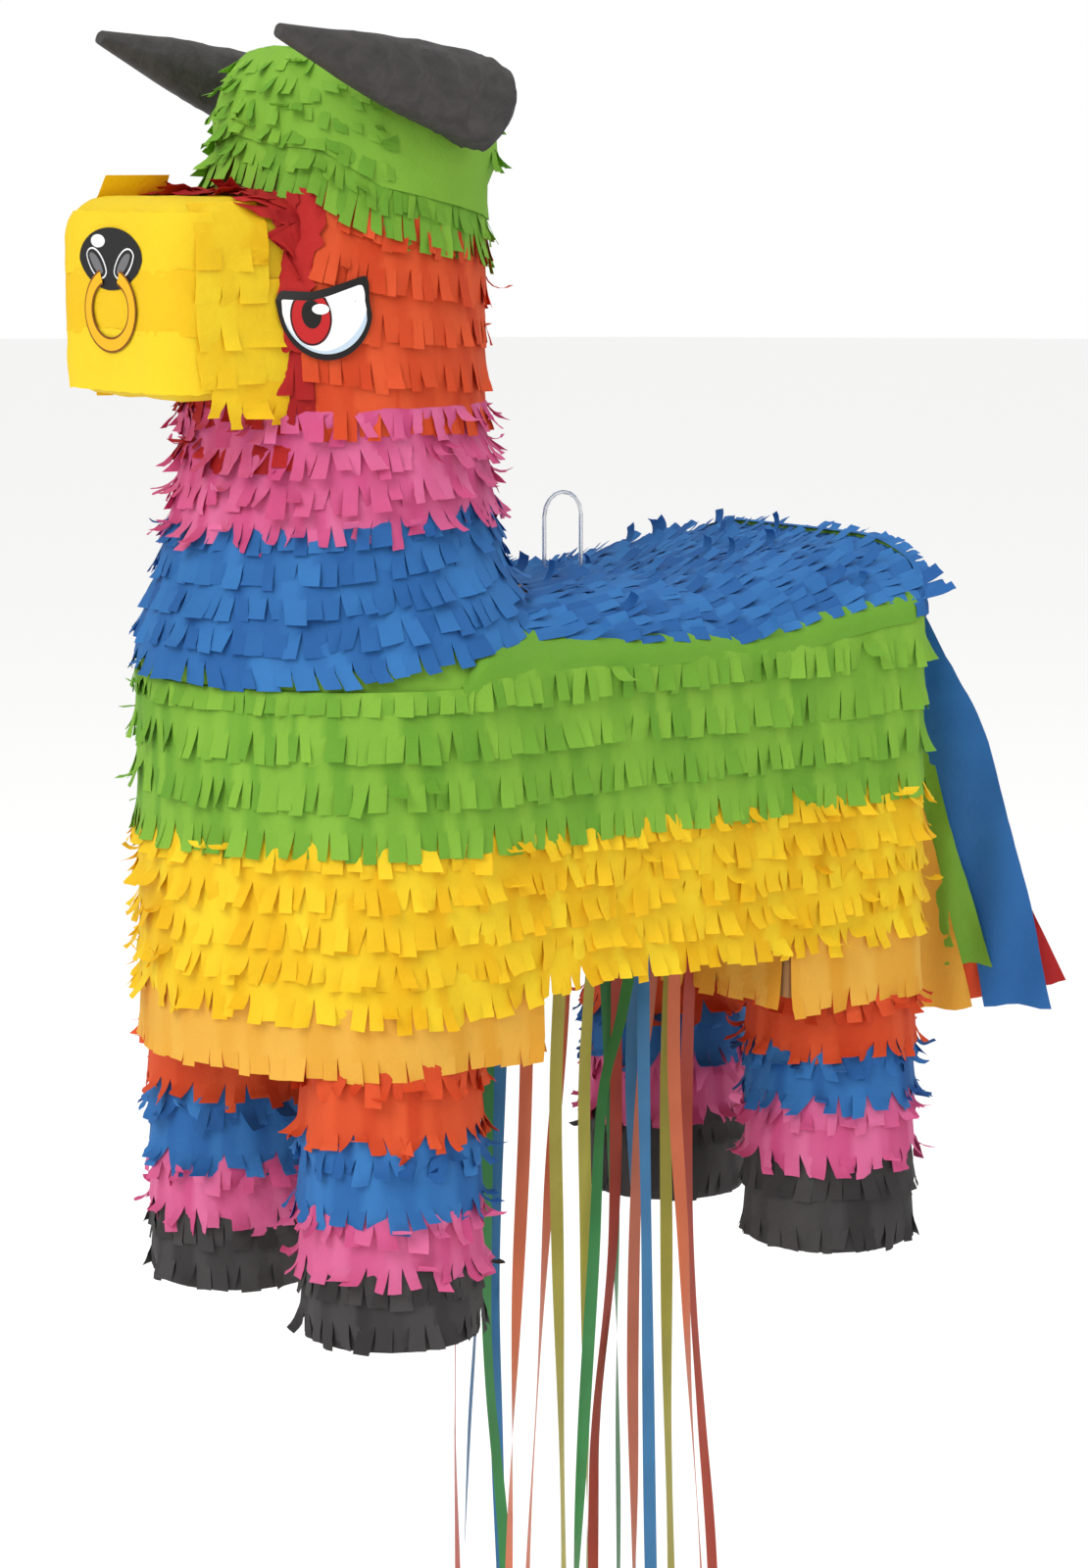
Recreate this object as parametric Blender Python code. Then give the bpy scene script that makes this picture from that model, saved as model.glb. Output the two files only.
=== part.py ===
"""Pull-ribbon party pinata in the shape of a young bull, as separate card, tissue and
ribbon pieces.  Metres, +Z up, the bull faces -Y and its left side is +X.  Heights are
written from the soles of the hooves, and one empty then shifts the whole figure so that
the origin is the point where its hanging loop bears on a hook."""
import math

import bmesh
import bpy
from mathutils import Matrix, Vector

# ---- driving dimensions, metres ---------------------------------------------------
BOARD = 0.0030            # corrugated card
TISSUE = 0.0035           # depth of one coat of fringed tissue
PASTE = 0.0003            # gap that pasted or touching pieces keep
HINGE_CLEARANCE = 0.0003  # gap round a flap that opens

TRUNK_HALF_WIDTH = 0.0860  # outside the tissue, as all body sizes are
CHEST_AXIS_Y = -0.0840
RUMP_Y = 0.1380
RUMP_CORNER = 0.0200
RUMP_WRAP_Y = 0.1000       # where the rump card meets the side panels
FLOOR_Z = 0.1080           # underside of the two floors that carry the legs
BELLY_Z = 0.1340           # underside of the arched belly
BELLY_FRONT_Y = -0.0620
BELLY_REAR_Y = 0.0580
CHEST_TOP_Z = 0.2360
SKIRT_EDGE_Z = 0.1020
YELLOW_TOP_Z = 0.1800
BACK_EDGE_DROP = 0.0245    # how far the back falls from its crown to its sides
BACK_FLAT_HALF = 0.0300

LEG_X = 0.0510
LEG_Y = 0.1080
LEG_RADIUS = 0.0355

COLLAR_TOP_Z = 0.2950
PINK_TOP_Z = 0.3300
CAP_EDGE_Z = 0.4000
NECK_CARD_FOOT_Z = 0.2220
NECK_CARD_TOP_Z = 0.4460
CHEEK_FACETS = 4           # facets of red cheek on each side of straight ahead

MUZZLE_HALF_WIDTH = 0.0350
MUZZLE_FRONT_Y = -0.1880
MUZZLE_LOW_Z = 0.3470
MUZZLE_HIGH_Z = 0.4090
MUZZLE_ROUNDING = 0.0100
STICKER = 0.0004
NOSE_HALF_WIDTH = 0.0207
NOSE_LOW_Z = 0.3600
NOSE_HIGH_Z = 0.4035
EYE_GAP = 1.74             # degrees round the head from the muzzle to the eye
EYE_HALF_WIDTH = 0.0170
EYE_LOW_Z = 0.3565
EYE_HIGH_Z = 0.3840

HORN_BASE = Vector((0.0606, -0.0762, 0.4471))
HORN_TIP = Vector((0.0580, -0.1575, 0.4710))
HORN_BASE_RADIUS = 0.0165
HORN_TIP_RADIUS = 0.0026

DOOR_HALF_WIDTH = 0.0280
DOOR_FRONT_Y = -0.0260
DOOR_HINGE_Y = 0.0500
FLAP_FRONT_Y = -0.0100
FLAP_REAR_Y = 0.0500
FLAP_LOW_Z = 0.1920
FLAP_HINGE_Z = 0.2320

RIBBON_WIDTH = 0.0050
RIBBON_SLIT = 0.0064
RIBBON_TUCK = 0.0240       # length inside the belly that pulls out of the slit

LOOP_Y = 0.0120
LOOP_HALF_SPAN = 0.0090
LOOP_TOP_Z = 0.3000
LOOP_FOOT_Z = 0.2520
LOOP_CORD = 0.0016
LOOP_HOLE = 0.0030

TAIL_ROOT_X = 0.0380
TAIL_ROOT_Z = 0.2600
TAIL_ROOT_HALF_WIDTH = 0.0320

HANG_POINT = Vector((0.0, LOOP_Y, LOOP_TOP_Z - LOOP_CORD / 2))

# crown of the back: (y, z), straight between the points
BACK_CROWN = [(-0.086, 0.272), (0.010, 0.272), (0.035, 0.268), (0.075, 0.274),
              (0.105, 0.278), (0.140, 0.280)]
# neck and head: (z, axis y, radius) of the tissue
NECK_FOOT = TRUNK_HALF_WIDTH - BOARD - PASTE   # the neck stands just inside the chest card
HEAD_LEVELS = [(0.2000, CHEST_AXIS_Y, NECK_FOOT), (0.2330, CHEST_AXIS_Y, NECK_FOOT),
               (0.2360, CHEST_AXIS_Y - 0.0015, NECK_FOOT - 0.0024),
               (0.2480, CHEST_AXIS_Y - 0.0100, NECK_FOOT - 0.0101), (0.2620, -0.0945, 0.0696), (0.2840, -0.0963, 0.0656),
               (0.2950, -0.0960, 0.0620), (0.3280, -0.0948, 0.0572), (0.3520, -0.0965, 0.0588),
               (0.3780, -0.0980, 0.0600), (0.3980, -0.0935, 0.0570), (0.4170, -0.0890, 0.0530),
               (0.4300, -0.0850, 0.0530), (0.4440, -0.0850, 0.0508), (0.4550, -0.0850, 0.0450),
               (0.4620, -0.0850, 0.0350), (0.4650, -0.0850, 0.0200)]
SLAB_SPARE = 0.0040        # how far a back sheet is made oversize before trimming
HEAD_SIDES = 24
CHEST_STEPS = HEAD_SIDES // 2   # so that chest and neck facets face each other
CORNER_STEPS = 4
LEG_SIDES = 20

# each ribbon: (name, colour, points from the slit down to the free end)
RIBBONS = [
    ("ribbon_orange_front", "orange",
     [(0.038, -0.034, 0.134), (0.038, -0.036, 0.063), (0.038, -0.040, -0.010),
      (0.037, -0.043, -0.109), (0.038, -0.045, -0.190), (0.039, -0.044, -0.258)]),
    ("ribbon_olive_front", "olive",
     [(0.038, -0.018, 0.134), (0.038, -0.021, 0.075), (0.038, -0.020, 0.009),
      (0.038, -0.017, -0.112), (0.037, -0.016, -0.190), (0.038, -0.014, -0.266)]),
    ("ribbon_olive_middle", "olive",
     [(0.038, -0.003, 0.134), (0.038, -0.007, 0.075), (0.038, -0.006, 0.009),
      (0.039, -0.006, -0.110), (0.039, -0.007, -0.185), (0.040, -0.006, -0.251)]),
    ("ribbon_green_left", "green",
     [(0.044, 0.014, 0.134), (0.044, 0.006, 0.100), (0.044, -0.003, 0.070),
      (0.044, -0.007, 0.008), (0.044, -0.012, -0.061), (0.045, -0.017, -0.135),
      (0.045, -0.020, -0.240)]),
    ("ribbon_blue_left", "blue",
     [(0.036, 0.024, 0.134), (0.036, 0.024, 0.086), (0.036, 0.026, 0.003),
      (0.036, 0.028, -0.097), (0.035, 0.031, -0.180), (0.034, 0.033, -0.262)]),
    ("ribbon_orange_rear", "orange",
     [(0.038, 0.038, 0.134), (0.038, 0.038, 0.070), (0.038, 0.043, 0.005),
      (0.038, 0.047, -0.057), (0.039, 0.053, -0.140), (0.040, 0.058, -0.249)]),
    ("ribbon_orange_right", "orange",
     [(-0.038, 0.045, 0.134), (-0.038, 0.042, 0.079), (-0.038, 0.035, 0.010),
      (-0.038, 0.029, -0.073), (-0.038, 0.024, -0.148), (-0.039, 0.020, -0.260)]),
    ("ribbon_red_front", "red",
     [(-0.038, -0.025, 0.134), (-0.041, -0.018, 0.060), (-0.044, -0.009, -0.030),
      (-0.045, -0.008, -0.090), (-0.045, -0.007, -0.140), (-0.045, -0.005, -0.255)]),
    ("ribbon_blue_front", "blue",
     [(-0.038, -0.010, 0.134), (-0.038, -0.004, 0.060), (-0.038, -0.002, -0.020),
      (-0.038, -0.006, -0.083), (-0.038, -0.009, -0.141), (-0.038, -0.014, -0.246)]),
    ("ribbon_blue_right", "blue",
     [(-0.038, 0.014, 0.134), (-0.038, 0.010, 0.060), (-0.038, 0.007, -0.020),
      (-0.038, 0.008, -0.086), (-0.038, 0.010, -0.144), (-0.037, 0.013, -0.264)]),
    ("ribbon_green_behind", "green",
     [(-0.029, 0.0545, 0.134), (-0.025, 0.055, 0.085), (-0.021, 0.056, 0.003),
      (-0.019, 0.056, -0.082), (-0.018, 0.056, -0.149), (-0.018, 0.055, -0.253)]),
    ("ribbon_red_behind", "red",
     [(-0.020, 0.0545, 0.134), (-0.018, 0.0540, 0.070), (-0.016, 0.051, -0.009),
      (-0.024, 0.049, -0.083), (-0.026, 0.049, -0.130), (-0.026, 0.048, -0.262)]),
    ("ribbon_blue_behind", "blue",
     [(-0.004, 0.0545, 0.134), (-0.009, 0.0545, 0.060), (-0.010, 0.058, -0.020),
      (-0.011, 0.058, -0.090), (-0.011, 0.059, -0.148), (-0.011, 0.061, -0.256)]),
    ("ribbon_salmon_behind", "salmon",
     [(0.007, 0.0545, 0.134), (0.004, 0.054, 0.095), (0.000, 0.052, 0.057),
      (-0.002, 0.051, 0.000), (-0.003, 0.051, -0.061), (-0.003, 0.052, -0.130),
      (-0.004, 0.052, -0.244)]),
    ("ribbon_olive_behind", "olive",
     [(0.017, 0.0545, 0.134), (0.013, 0.0545, 0.070), (0.012, 0.056, 0.000),
      (0.013, 0.056, -0.065), (0.016, 0.056, -0.139), (0.019, 0.057, -0.261)]),
    ("ribbon_red_left", "red",
     [(0.029, 0.0545, 0.134), (0.026, 0.0545, 0.072), (0.024, 0.057, 0.020),
      (0.027, 0.058, -0.030), (0.030, 0.060, -0.075), (0.034, 0.063, -0.140),
      (0.036, 0.066, -0.252)]),
]
PULL_RIBBON = [(0.000, -0.021, 0.1311), (-0.001, -0.024, 0.070), (0.000, -0.026, 0.000),
               (0.001, -0.025, -0.050), (0.009, -0.023, -0.128), (0.015, -0.021, -0.268)]

COLOURS = {  # linear red, green, blue
    "card": (0.36, 0.24, 0.13), "green": (0.26, 0.52, 0.05), "yellow": (0.98, 0.72, 0.02),
    "gold": (0.87, 0.46, 0.04), "blue": (0.03, 0.16, 0.46), "pink": (0.80, 0.13, 0.33),
    "orange": (0.86, 0.10, 0.02), "red": (0.57, 0.02, 0.02), "black": (0.03, 0.03, 0.03),
    "olive": (0.42, 0.38, 0.04), "salmon": (0.58, 0.16, 0.08), "clear": (0.80, 0.82, 0.82),
    "white": (0.86, 0.86, 0.84),
}


# ---- scene and small helpers ------------------------------------------------------
for old in list(bpy.data.objects):
    bpy.data.objects.remove(old, do_unlink=True)

pinata = bpy.data.collections.new("pinata")
cutters = bpy.data.collections.new("cutters")
bpy.context.scene.collection.children.link(pinata)
bpy.context.scene.collection.children.link(cutters)

hang = bpy.data.objects.new("hang_point", None)
hang.location = -HANG_POINT
pinata.objects.link(hang)
materials = {}


def material(colour):
    """One matte paper or ribbon material for each colour."""
    if colour not in materials:
        made = bpy.data.materials.new(colour)
        made.use_nodes = True
        shader = made.node_tree.nodes["Principled BSDF"]
        shader.inputs["Base Color"].default_value = (*COLOURS[colour], 1.0)
        shader.inputs["Roughness"].default_value = 0.8
        shader.inputs["Metallic"].default_value = 0.0
        materials[colour] = made
    return materials[colour]


def piece(name, mesh, colour, pivot=(0.0, 0.0, 0.0)):
    """A named solid whose origin is its pivot; the mesh comes in figure coordinates."""
    mesh.transform(Matrix.Translation(-Vector(pivot)))
    obj = bpy.data.objects.new(name, mesh)
    mesh.materials.append(material(colour))
    obj.location = pivot
    obj.parent = hang
    pinata.objects.link(obj)
    return obj


def cutter(name, mesh):
    obj = bpy.data.objects.new(name, mesh)
    obj.parent = hang
    obj.hide_render = True
    obj.display_type = "WIRE"
    cutters.objects.link(obj)
    return obj


def boolean(obj, tool, operation="DIFFERENCE"):
    """Cuts, joins or trims obj with the tool object."""
    step = obj.modifiers.new(tool.name, "BOOLEAN")
    step.operation = operation
    step.solver = "EXACT"
    step.object = tool


def finished(name, mesh_maker):
    """Fills a new mesh from a bmesh and points its faces outwards."""
    mesh = bpy.data.meshes.new(name)
    work = bmesh.new()
    mesh_maker(work)
    bmesh.ops.recalc_face_normals(work, faces=work.faces)
    work.to_mesh(mesh)
    work.free()
    return mesh


def box(name, low, high):
    """A plain block between two corners."""
    low, high = Vector(low), Vector(high)

    def make(work):
        size = Matrix.Diagonal(high - low).to_4x4()
        bmesh.ops.create_cube(work, size=1.0, matrix=Matrix.Translation((low + high) / 2) @ size)
    return finished(name, make)


def boxes(name, centres, half):
    """Several equal blocks in one mesh."""
    def make(work):
        size = Matrix.Diagonal(Vector(half) * 2).to_4x4()
        for centre in centres:
            bmesh.ops.create_cube(work, size=1.0, matrix=Matrix.Translation(centre) @ size)
    return finished(name, make)


def prism(name, outlines, low, high, along="Z"):
    """A flat outline with any holes, made thick along Z or X."""
    curve = bpy.data.curves.new(name, "CURVE")
    curve.dimensions = "2D"
    curve.fill_mode = "BOTH"
    curve.extrude = (high - low) / 2
    for outline in outlines:
        spline = curve.splines.new("POLY")
        spline.points.add(len(outline) - 1)
        spline.use_cyclic_u = True
        for point, (u, v) in zip(spline.points, outline):
            point.co = (u, v, 0.0, 1.0)
    holder = bpy.data.objects.new(name, curve)
    bpy.context.scene.collection.objects.link(holder)
    depsgraph = bpy.context.evaluated_depsgraph_get()
    mesh = bpy.data.meshes.new_from_object(holder.evaluated_get(depsgraph))
    bpy.data.objects.remove(holder, do_unlink=True)
    mesh.transform(Matrix.Translation((0.0, 0.0, (low + high) / 2)))
    if along == "X":
        mesh.transform(Matrix(((0, 0, 1, 0), (1, 0, 0, 0), (0, 1, 0, 0), (0, 0, 0, 1))))
    mesh.materials.clear()
    work = bmesh.new()
    work.from_mesh(mesh)
    bmesh.ops.remove_doubles(work, verts=work.verts, dist=1e-6)
    bmesh.ops.recalc_face_normals(work, faces=work.faces)
    work.to_mesh(mesh)
    work.free()
    return mesh


def arc(centre, radius, start, end, steps):
    """Points on an arc, in degrees, both ends included."""
    points = []
    for step in range(steps + 1):
        angle = math.radians(start + (end - start) * step / steps)
        points.append((centre[0] + radius * math.cos(angle), centre[1] + radius * math.sin(angle)))
    return points


def between(table, position, column):
    """Straight-line reading of one column of a table sorted by its first column."""
    for low, high in zip(table, table[1:]):
        if position <= high[0]:
            share = max(0.0, (position - low[0]) / (high[0] - low[0]))
            return low[column] + share * (high[column] - low[column])
    return table[-1][column]


# ---- shapes shared by several pieces ----------------------------------------------
def chest_arc(inset):
    return arc((0.0, CHEST_AXIS_Y), TRUNK_HALF_WIDTH - inset, 180, 360, CHEST_STEPS)


def rump_arcs(inset):
    """The rounded rear end in plan, from the left side panel round to the right one."""
    corner = RUMP_CORNER - inset
    across = TRUNK_HALF_WIDTH - RUMP_CORNER
    along = RUMP_Y - RUMP_CORNER
    left = arc((across, along), corner, 0, 90, CORNER_STEPS)
    right = arc((-across, along), corner, 90, 180, CORNER_STEPS)
    return left + right


def trunk_plan(inset):
    """The trunk seen from above: a half-round chest, flat flanks and a rounded rump."""
    return chest_arc(inset) + rump_arcs(inset)


def back_height(x, y):
    """Top of the tissue on the back."""
    reach = max(0.0, abs(x) - BACK_FLAT_HALF) / (TRUNK_HALF_WIDTH - BACK_FLAT_HALF)
    return between(BACK_CROWN, y, 1) - BACK_EDGE_DROP * reach ** 2.5


def arched_slab(name, under, over=None, roof=None, base=None, start=CHEST_AXIS_Y):
    """A sheet or block that follows the arch of the back.  under and over are depths
    below the tissue; roof or base replaces one side with a level plane."""
    def make(work):
        bmesh.ops.create_grid(work, x_segments=12, y_segments=9, size=0.5)
        for vert in work.verts:
            vert.co.x *= 2 * (TRUNK_HALF_WIDTH + SLAB_SPARE)
            along = CHEST_AXIS_Y + (vert.co.y + 0.5) * (RUMP_Y + SLAB_SPARE - CHEST_AXIS_Y)
            vert.co.y = along if vert.co.y > -0.499 else start
        lower = list(work.verts)
        made = bmesh.ops.extrude_face_region(work, geom=work.faces[:], use_keep_orig=True)
        upper = [item for item in made["geom"] if isinstance(item, bmesh.types.BMVert)]
        for vert in lower:
            vert.co.z = base if base is not None else back_height(vert.co.x, vert.co.y) - under
        for vert in upper:
            vert.co.z = roof if roof is not None else back_height(vert.co.x, vert.co.y) - over
    return finished(name, make)


def head_ring(z, inset):
    """Centre and radius of the neck and head at one height."""
    return between(HEAD_LEVELS, z, 1), between(HEAD_LEVELS, z, 2) - inset


def head_sleeve(name, low, high, outer, inner, angles=(-180.0, 180.0), sides=HEAD_SIDES,
                closed_top=False):
    """A coat round the neck and head between two heights; angles run from straight
    ahead towards the bull's left."""
    heights = [low] + [row[0] for row in HEAD_LEVELS if low + 1e-4 < row[0] < high - 1e-4] + [high]

    def place(across, level, inset):
        angle = math.radians(angles[0] + (angles[1] - angles[0]) * across)
        centre, radius = head_ring(heights[level], inset)
        drop = 0.0
        if closed_top and level == len(heights) - 1:
            radius = 0.0
            drop = inset
        return Vector((radius * math.sin(angle), centre - radius * math.cos(angle),
                       heights[level] - drop))

    def make(work):
        levels = len(heights) - 1
        bmesh.ops.create_grid(work, x_segments=sides, y_segments=levels, size=0.5)
        coat = {vert: (vert.co.x + 0.5, round((vert.co.y + 0.5) * levels)) for vert in work.verts}
        lining = {}
        made = bmesh.ops.extrude_face_region(work, geom=work.faces[:], use_keep_orig=True)
        inside = [item for item in made["geom"] if isinstance(item, bmesh.types.BMVert)]
        for vert in inside:
            lining[vert] = (vert.co.x + 0.5, round((vert.co.y + 0.5) * levels))
        for vert, (across, level) in coat.items():
            vert.co = place(across, level, outer)
        for vert, (across, level) in lining.items():
            vert.co = place(across, level, inner)
        if angles[1] - angles[0] > 359.0:
            seam = [face for face in work.faces if all(
                abs(vert.co.x) < 1e-6 and vert.co.y > head_ring(vert.co.z, 0.0)[0] - 1e-4
                for vert in face.verts)]
            bmesh.ops.delete(work, geom=seam, context="FACES_ONLY")
        bmesh.ops.remove_doubles(work, verts=work.verts, dist=1e-5)
        bmesh.ops.dissolve_degenerate(work, edges=work.edges, dist=1e-6)
    return finished(name, make)


def head_plug(name, low, high, inset):
    """The solid inside of the neck and head, for cutting what meets it."""
    heights = [low] + [row[0] for row in HEAD_LEVELS if low + 1e-4 < row[0] < high - 1e-4] + [high]

    def make(work):
        rings = []
        for height in heights:
            centre, radius = head_ring(height, inset)
            turn = Matrix.Rotation(math.radians(90), 4, "Z")
            place = Matrix.Translation((0.0, centre, height)) @ turn
            ring = bmesh.ops.create_circle(work, segments=HEAD_SIDES, radius=radius, matrix=place)
            rings.append(ring["verts"])
        edges = [edge for edge in work.edges]
        bmesh.ops.bridge_loops(work, edges=edges)
        for ring in (rings[0], rings[-1]):
            bmesh.ops.contextual_create(work, geom=ring)
    return finished(name, make)


def smooth_route(points, spacing):
    """Even points on one smooth curve through a cord's own points."""
    knots = [Vector(point) for point in points]
    knots = [knots[0] * 2 - knots[1]] + knots + [knots[-1] * 2 - knots[-2]]
    dense = []
    for before, start, end, after in zip(knots, knots[1:], knots[2:], knots[3:]):
        for step in range(24):
            t = step / 24
            dense.append(0.5 * (2 * start + (end - before) * t
                                + (2 * before - 5 * start + 4 * end - after) * t * t
                                + (3 * start - before - 3 * end + after) * t ** 3))
    dense.append(knots[-2])
    total = sum((b - a).length for a, b in zip(dense, dense[1:]))
    count = max(2, round(total / spacing))
    even, run, index = [dense[0]], 0.0, 0
    for step in range(1, count):
        target = total * step / count
        while run + (dense[index + 1] - dense[index]).length < target:
            run += (dense[index + 1] - dense[index]).length
            index += 1
        leg = dense[index + 1] - dense[index]
        even.append(dense[index] + leg * ((target - run) / leg.length))
    return even + [dense[-1]]


def tube(name, points, diameter, colour, pivot=(0.0, 0.0, 0.0), cyclic=False):
    """A plain round cord along its points."""
    curve = bpy.data.curves.new(name, "CURVE")
    curve.dimensions = "3D"
    curve.bevel_depth = diameter / 2
    curve.bevel_resolution = 2
    curve.use_fill_caps = not cyclic
    spline = curve.splines.new("POLY")
    spline.points.add(len(points) - 1)
    spline.use_cyclic_u = cyclic
    for point, place in zip(spline.points, points):
        point.co = (*(Vector(place) - Vector(pivot)), 1.0)
    obj = bpy.data.objects.new(name, curve)
    curve.materials.append(material(colour))
    obj.location = pivot
    obj.parent = hang
    pinata.objects.link(obj)
    return obj


# ---- cutters that several pieces share --------------------------------------------
CARD = TISSUE + PASTE                  # depth of the card's outer face
CARD_INSIDE = CARD + BOARD
above_card = cutter("above_card", arched_slab("above_card", CARD_INSIDE + PASTE, roof=0.33,
                                              start=-0.1))
above_tissue = cutter("above_tissue", arched_slab("above_tissue", CARD, roof=0.33, start=-0.1))
below_collar = cutter("below_collar", arched_slab("below_collar", None, over=-PASTE, base=0.19,
                                                  start=CHEST_AXIS_Y - PASTE))
neck_clear = cutter("neck_clear", head_plug("neck_clear", 0.205, 0.340, CARD - PASTE))
head_card_clear = cutter("head_card_clear", head_plug("head_card_clear", 0.32, 0.43, CARD - PASTE))
head_coat_clear = cutter("head_coat_clear", head_plug("head_coat_clear", 0.32, 0.43, -PASTE))
chest_top = cutter("chest_top", box("chest_top", (-0.1, -0.2, CHEST_TOP_Z),
                                    (0.1, CHEST_AXIS_Y - PASTE, 0.31)))


# ---- trunk card ---------------------------------------------------------------------
def make_chest_shell():
    wall = chest_arc(CARD) + chest_arc(CARD_INSIDE)[::-1]
    piece("chest_shell", prism("chest_shell", [wall], FLOOR_Z, CHEST_TOP_Z), "card")


def side_outline():
    front = CHEST_AXIS_Y + PASTE
    rear = RUMP_WRAP_Y - PASTE
    return [(front, FLOOR_Z), (BELLY_FRONT_Y, FLOOR_Z), (BELLY_FRONT_Y, BELLY_Z),
            (BELLY_REAR_Y, BELLY_Z), (BELLY_REAR_Y, FLOOR_Z), (rear, FLOOR_Z),
            (rear, 0.3), (front, 0.3)]


def flap_hole():
    reach = HINGE_CLEARANCE
    return [(FLAP_FRONT_Y - reach, FLAP_LOW_Z - reach), (FLAP_REAR_Y + reach, FLAP_LOW_Z - reach),
            (FLAP_REAR_Y + reach, FLAP_HINGE_Z + reach), (FLAP_FRONT_Y - reach, FLAP_HINGE_Z + reach)]


def make_side_panels():
    outer, inner = TRUNK_HALF_WIDTH - CARD, TRUNK_HALF_WIDTH - CARD_INSIDE
    left = piece("side_panel_left",
                 prism("side_panel_left", [side_outline()], inner, outer, "X"), "card")
    right = piece("side_panel_right",
                  prism("side_panel_right", [side_outline(), flap_hole()], -outer, -inner, "X"),
                  "card")
    boolean(left, above_card)
    boolean(right, above_card)


def rump_wall(outer, inner, start):
    """The U of the rump in plan between two insets."""
    outside = [(TRUNK_HALF_WIDTH - outer, start)] + rump_arcs(outer)
    outside += [(-(TRUNK_HALF_WIDTH - outer), start)]
    inside = [(TRUNK_HALF_WIDTH - inner, start)] + rump_arcs(inner)
    inside += [(-(TRUNK_HALF_WIDTH - inner), start)]
    return outside + inside[::-1]


def make_rump_panel():
    wall = rump_wall(CARD, CARD_INSIDE, RUMP_WRAP_Y)
    rump = piece("rump_panel", prism("rump_panel", [wall], FLOOR_Z, 0.3), "card")
    boolean(rump, above_card)


def loop_holes():
    centres = [(0.0, LOOP_Y - LOOP_HALF_SPAN, 0.27), (0.0, LOOP_Y + LOOP_HALF_SPAN, 0.27)]
    return cutter("loop_holes", boxes("loop_holes", centres, (LOOP_HOLE / 2, LOOP_HOLE / 2, 0.03)))


def make_back():
    holes = loop_holes()
    for name, under, over, inset, colour in (
            ("back_panel", CARD_INSIDE, CARD, CARD, "card"),
            ("tissue_saddle", TISSUE, 0.0, 0.0, "blue")):
        sheet = piece(name, arched_slab(name, under, over=over), colour)
        plan = cutter(name + "_plan", prism(name + "_plan", [trunk_plan(inset)], 0.2, 0.31))
        boolean(sheet, plan, "INTERSECT")
        boolean(sheet, neck_clear)
        boolean(sheet, holes)


def make_belly_panel():
    """One strip of card folded down at each end to carry the legs, with the door hole
    and a slit for every loose ribbon."""
    far_front = CHEST_AXIS_Y - TRUNK_HALF_WIDTH
    under = [(far_front, FLOOR_Z), (BELLY_FRONT_Y, FLOOR_Z), (BELLY_FRONT_Y, BELLY_Z),
             (BELLY_REAR_Y, BELLY_Z), (BELLY_REAR_Y, FLOOR_Z), (RUMP_Y, FLOOR_Z)]
    over = [(RUMP_Y, FLOOR_Z + BOARD), (BELLY_REAR_Y + BOARD, FLOOR_Z + BOARD),
            (BELLY_REAR_Y + BOARD, BELLY_Z + BOARD), (BELLY_FRONT_Y - BOARD, BELLY_Z + BOARD),
            (BELLY_FRONT_Y - BOARD, FLOOR_Z + BOARD), (far_front, FLOOR_Z + BOARD)]
    half = TRUNK_HALF_WIDTH
    strip = piece("belly_panel", prism("belly_panel", [under + over], -half, half, "X"), "card")
    plan = cutter("belly_plan", prism("belly_plan", [trunk_plan(CARD_INSIDE + PASTE)], 0.09, 0.15))
    boolean(strip, plan, "INTERSECT")
    reach = HINGE_CLEARANCE
    door = box("door_hole", (-DOOR_HALF_WIDTH - reach, DOOR_FRONT_Y - reach, BELLY_Z - 0.01),
               (DOOR_HALF_WIDTH + reach, DOOR_HINGE_Y + reach, BELLY_Z + 0.01))
    boolean(strip, cutter("door_hole", door))
    centres = [(points[0][0], points[0][1], BELLY_Z) for _, _, points in RIBBONS]
    slits = boxes("ribbon_slits", centres, (RIBBON_SLIT / 2, RIBBON_SLIT / 2, 0.01))
    boolean(strip, cutter("ribbon_slits", slits))


def make_trap_door():
    mesh = box("trap_door", (-DOOR_HALF_WIDTH, DOOR_FRONT_Y, BELLY_Z),
               (DOOR_HALF_WIDTH, DOOR_HINGE_Y, BELLY_Z + BOARD))
    piece("trap_door", mesh, "card", (0.0, DOOR_HINGE_Y, BELLY_Z))


def make_filler_flap():
    """A flap in the right flank, with its own patch of tissue, hinged along its top."""
    pivot = (-TRUNK_HALF_WIDTH, 0.0, FLAP_HINGE_Z)
    card = box("filler_flap", (CARD - TRUNK_HALF_WIDTH, FLAP_FRONT_Y, FLAP_LOW_Z),
               (CARD_INSIDE - TRUNK_HALF_WIDTH, FLAP_REAR_Y, FLAP_HINGE_Z))
    coat = box("filler_flap_tissue", (-TRUNK_HALF_WIDTH, FLAP_FRONT_Y, FLAP_LOW_Z),
               (TISSUE - TRUNK_HALF_WIDTH, FLAP_REAR_Y, FLAP_HINGE_Z))
    piece("filler_flap", card, "card", pivot)
    piece("filler_flap_tissue", coat, "green", pivot)


# ---- trunk tissue -------------------------------------------------------------------
def make_flank_tissue():
    low = YELLOW_TOP_Z + PASTE
    ring = prism("tissue_flank_green", [trunk_plan(0.0), trunk_plan(TISSUE)], low, 0.3)
    green = piece("tissue_flank_green", ring, "green")
    boolean(green, above_tissue)
    boolean(green, chest_top)
    reach = HINGE_CLEARANCE
    hole = box("flap_coat_hole",
               (-TRUNK_HALF_WIDTH - TISSUE, FLAP_FRONT_Y - reach, FLAP_LOW_Z - reach),
               (TISSUE * 4 - TRUNK_HALF_WIDTH, FLAP_REAR_Y + reach, FLAP_HINGE_Z + reach))
    boolean(green, cutter("flap_coat_hole", hole))
    ring = prism("tissue_flank_yellow", [trunk_plan(0.0), trunk_plan(TISSUE)],
                 BELLY_Z + PASTE, YELLOW_TOP_Z)
    piece("tissue_flank_yellow", ring, "yellow")


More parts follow.
